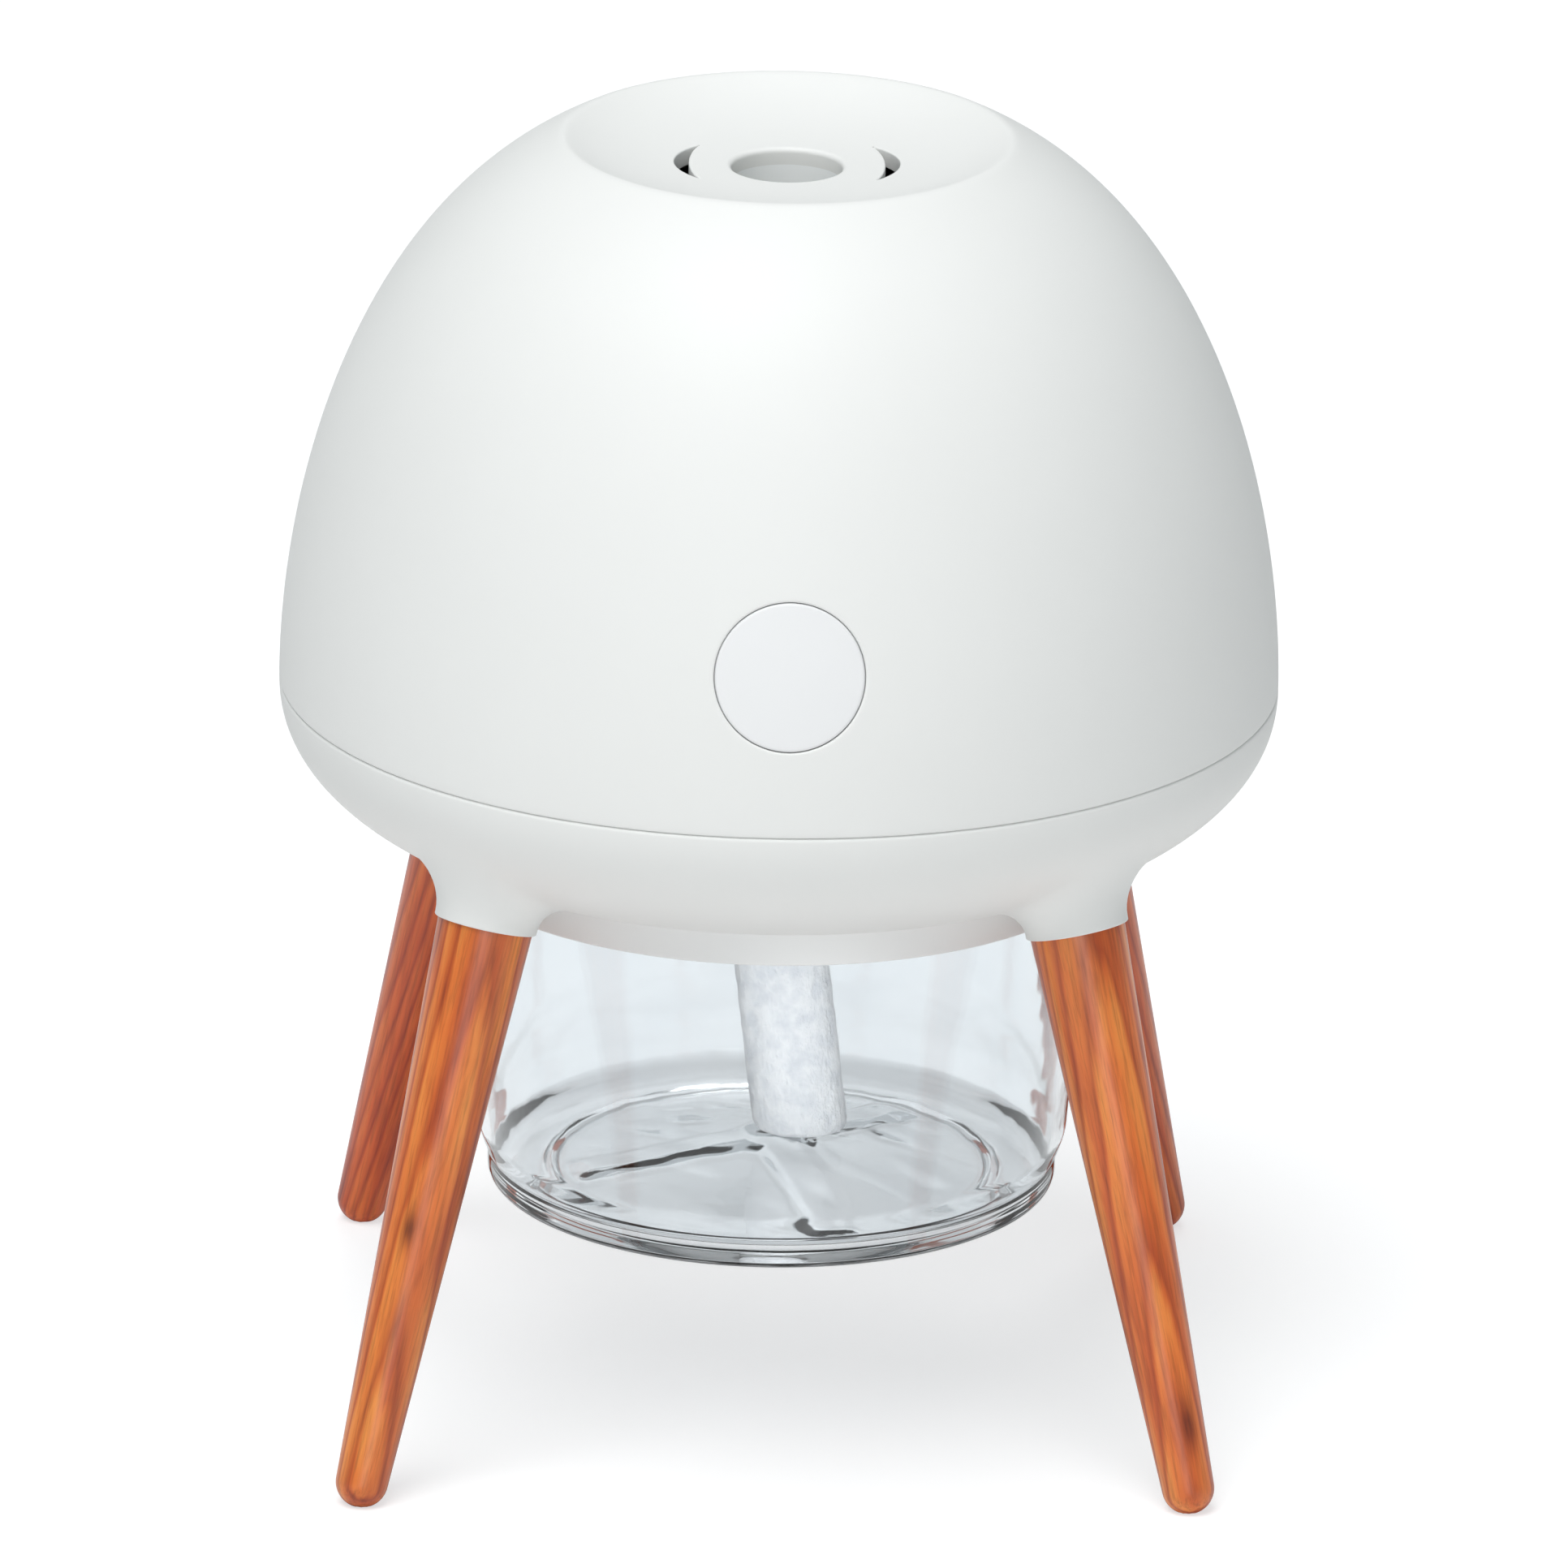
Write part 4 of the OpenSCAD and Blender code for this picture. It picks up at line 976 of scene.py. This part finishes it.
def makeTank():
    # a turned cup, from the middle of its underside up the outside, over the rim and down to the
    # middle of its floor, where the relief is laid on
    wall, neck, belly = tank["wall"], tank["neck"], tank["belly"]
    bellyZ, under, floor = tank["bellyZ"], tank["under"], tank["floor"]
    taper, taperZ, shoulder = neck - tank["taper"], tank["taperZ"], tank["shoulder"]
    low = roundedPath([(0, under + tank["hollow"] + tankFloor["rise"]),
                       (tank["hollowReach"], under + tank["hollow"], 0.6),
                       (tank["footIn"], under, 0.8), (tank["foot"], under, 2.6),
                       (tank["foot"], bellyZ - 3.6, 0.5), (belly - 1.2, bellyZ - 3.3, 0.3),
                       (belly, bellyZ, 0.8), (taper, taperZ), (neck, shoulder),
                       (neck, tank["threadLow"])], 1.0)
    outerNeck = roundedPath([(neck, tank["threadLow"]), (neck, tank["rim"] - 0.5)], 0.22)[1:]
    inner = roundedPath([(neck, tank["rim"] - 0.5), (neck, tank["rim"], 0.4),
                         (neck - wall, tank["rim"], 0.4), (neck - wall, shoulder),
                         (taper - wall, taperZ), (belly - wall, bellyZ, 0.8),
                         (belly - wall - 0.6, floor, 3.6), (tank["floorReach"], floor)], 1.0)[1:]
    floorRows = roundedPath([(tank["floorReach"], floor), (0, floor)], 0.42)[1:]
    path = np.concatenate([low, outerNeck, inner, floorRows])
    rows = np.zeros(len(path))
    rows[len(low):len(low) + len(outerNeck)] = 1
    grid = threadedGrid(path, thread["maleZ"], tank["from"], tank["span"], tank["crest"] - neck, rows)
    start = len(path) - len(floorRows)
    grid[start:, :, 2] += floorRelief(grid[start:, :, 0], grid[start:, :, 1])
    return addPiece("clearTank", [(grid, gridFaces(len(path), around))], clearWall,
                    "tank", ["tank"])


makeCollar()
makeTank()
print("collar and tank made")


# wick and mist chimney

def makeWick():
    # a turned stick of pressed fibre: its radius swells and sinks by four sine waves round and
    # along it, and below its tube it leans right by tan(lean) x (d - 2 (1 - exp(-d / 2))), d down
    wick = {
        "radius": 6.3, "low": 33.5, "high": 149.1, "lump": 0.10, "bend": 66.0,
        "lean": math.radians(7), "ease": 2,
        "waves": ((3, 0.21, 0), (7, -0.37, 1.0), (11, 0.83, 2.0), (5, 1.7, 0)),
    }
    path = roundedPath([(0, wick["low"]), (wick["radius"], wick["low"], 0.9),
                        (wick["radius"], wick["high"], 0.5), (0, wick["high"])], 0.8)
    columns = 96
    grid = turned(path, columns)
    angle = np.arange(columns)[None, :] * 2 * math.pi / columns
    z = path[:, 1][:, None]
    lumps = sum(np.sin(turns * angle + along * z + start) for turns, along, start in wick["waves"])
    swell = 1 + (lumps / len(wick["waves"]) - 1) * wick["lump"] / wick["radius"]
    grid[..., :2] *= swell[..., None]
    straight = grid.copy()
    below = np.clip(wick["bend"] - straight[..., 2], 0, None)
    eased = below - wick["ease"] * (1 - np.exp(-below / wick["ease"]))
    grid[..., 0] += eased * math.tan(wick["lean"])
    return addPiece("wickStick", [(grid, gridFaces(len(path), columns), straight)], cotton,
                    replaced=["wick"])


def makeChimney():
    # a turned tube from the seal up to the underside of the dish, with a flange at its top
    chimney = {"bore": 7.2, "radius": 8.6, "flange": 10.6, "flangeTall": 1.6, "low": 154.45}
    top = float(dishHeight(dome["mist"])) - dome["wall"]
    flangeLow = top - chimney["flangeTall"]
    path = roundedPath([(chimney["bore"], chimney["low"]), (chimney["radius"], chimney["low"]),
                        (chimney["radius"], flangeLow, 0.5), (chimney["flange"], flangeLow),
                        (chimney["flange"], top), (chimney["bore"], top)], 0.8)
    columns = 180
    # its finish is the lit copy of the shell's white, painted light that brightens the shaded inside of the
    # outlet
    return addPiece("mistChimney", [(turned(path, columns), gridFaces(len(path), columns, True))],
                    chimneyLitWhite, replaced=["mist_chimney"])


makeWick()
makeChimney()
print("wick and chimney made")


# floor, light and camera

def seenShare(nodes, through, least=0.0):
    # 1 for a ray from the camera, the share through for one that has come through the clear tank,
    # and never under the least
    rays = nodes.new("ShaderNodeLightPath")
    either = addNode(nodes, "ShaderNodeMath", operation="MULTIPLY_ADD")
    join(rays.outputs["Is Transmission Ray"], either.inputs[0])
    either.inputs[1].default_value = through
    join(rays.outputs["Is Camera Ray"], either.inputs[2])
    limit = addNode(nodes, "ShaderNodeMath", operation="MAXIMUM")
    join(either.outputs[0], limit.inputs[0])
    limit.inputs[1].default_value = least
    return limit.outputs[0]


def makeFloor():
    # a flat square of matt floor; where it is seen it is darker and glows a little, so that its
    # shadows stay pale, and other rays find the plain matt one with a small share of that
    stage = {"span": 4.0, "matt": 0.86, "seenMatt": 0.46, "lift": 0.64, "through": 0.8, "least": 0.12}
    span = stage["span"]
    mesh = bpy.data.meshes.new("floor")
    mesh.from_pydata([(-span, -span, 0), (span, -span, 0), (span, span, 0), (-span, span, 0)], [],
                     [(0, 1, 2, 3)])
    floor = bpy.data.objects.new("floor", mesh)
    bpy.context.scene.collection.objects.link(floor)
    finish, nodes, shader = newFinish("paleFloor")
    nodes.remove(shader)
    matt, seen, lift, both, mix = (nodes.new("ShaderNode" + kind) for kind in (
        "BsdfDiffuse", "BsdfDiffuse", "Emission", "AddShader", "MixShader"))
    matt.inputs["Color"].default_value = (stage["matt"], stage["matt"], stage["matt"], 1)
    seen.inputs["Color"].default_value = (stage["seenMatt"], stage["seenMatt"], stage["seenMatt"], 1)
    lift.inputs["Color"].default_value = (0.985, 0.992, 1.0, 1)
    lift.inputs["Strength"].default_value = stage["lift"]
    join(seen.outputs[0], both.inputs[0])
    join(lift.outputs[0], both.inputs[1])
    join(seenShare(nodes, stage["through"], stage["least"]), mix.inputs[0])
    join(matt.outputs[0], mix.inputs[1])
    join(both.outputs[0], mix.inputs[2])
    join(mix.outputs[0], nodes["Material Output"].inputs["Surface"])
    mesh.materials.append(finish)


def placeLamp(data, place, aim, power):
    # a lamp at the place that shines along the line to the aim
    data.energy = power
    lamp = bpy.data.objects.new(data.name, data)
    lamp.location = place
    lamp.rotation_euler = (Vector(aim) - Vector(place)).to_track_quat("-Z", "Y").to_euler()
    bpy.context.scene.collection.objects.link(lamp)


def makeLight(name, place, aim, size, power):
    # a round soft light, size metres across
    data = bpy.data.lights.new(name, "AREA")
    data.shape = "DISK"
    data.size = size
    placeLamp(data, place, aim, power)


def makeSpot(name, place, aim, radius, power):
    # a narrow beam that is about the radius wide where it lands: the angle is 2 atan(radius / way)
    data = bpy.data.lights.new(name, "SPOT")
    data.spot_size = 2 * math.atan(radius / (Vector(aim) - Vector(place)).length)
    data.spot_blend = 0.7
    data.shadow_soft_size = 0.004
    placeLamp(data, place, aim, power)


def makeWorld():
    # a dim, faintly blue room; the camera sees it white past the floor, and half white through
    # the tank
    room = {"colour": (0.92, 1.0, 1.03, 1), "strength": 0.28, "through": 0.5}
    world = bpy.data.worlds.new("studio")
    world.use_nodes = True
    nodes = world.node_tree.nodes
    dim, seen, mix = nodes["Background"], nodes.new("ShaderNodeBackground"), nodes.new("ShaderNodeMixShader")
    dim.inputs["Color"].default_value = room["colour"]
    dim.inputs["Strength"].default_value = room["strength"]
    seen.inputs["Color"].default_value = (1, 1, 1, 1)
    join(seenShare(nodes, room["through"]), mix.inputs[0])
    join(dim.outputs[0], mix.inputs[1])
    join(seen.outputs[0], mix.inputs[2])
    join(mix.outputs[0], nodes["World Output"].inputs["Surface"])
    bpy.context.scene.world = world
    bpy.context.scene.view_settings.view_transform = "Standard"


def makeCamera():
    # a long lens above the rim, turned slightly to the left of the front; it stands at aim plus
    # distance x (-sin turn cos up, -cos turn cos up, sin up)
    view = {"up": math.radians(18.95), "turn": math.radians(1.32), "roll": math.radians(0.93),
            "distance": 2.723, "aim": (0.0009, 0.0, 0.0803), "width": 0.2044}
    data = bpy.data.cameras.new("camera")
    data.sensor_width = 36
    data.lens = data.sensor_width * view["distance"] / view["width"]
    data.clip_start, data.clip_end = 0.1, 30
    camera = bpy.data.objects.new("camera", data)
    back = Vector((-math.sin(view["turn"]) * math.cos(view["up"]),
                   -math.cos(view["turn"]) * math.cos(view["up"]), math.sin(view["up"])))
    camera.location = Vector(view["aim"]) + back * view["distance"]
    camera.rotation_euler = (-back).to_track_quat("-Z", "Y").to_euler()
    camera.rotation_euler.rotate_axis("Z", view["roll"])
    bpy.context.scene.collection.objects.link(camera)
    bpy.context.scene.camera = camera


makeFloor()
makeWorld()
makeLight("keyLight", (-0.48, -1.00, 3.0), (0, 0, 0.08), 2.0, 77)
makeLight("fillLight", (0.1, -2.8, 0.30), (0, 0, 0.07), 1.4, 17)
makeLight("rearLight", (0.1, 1.3, 2.6), (0, 0, 0.16), 0.8, 10)
makeSpot("wickLight", (0.1, -2.5, 0.30), (0.003, 0, 0.050), 0.022, 50)
makeCamera()
print("stage set")
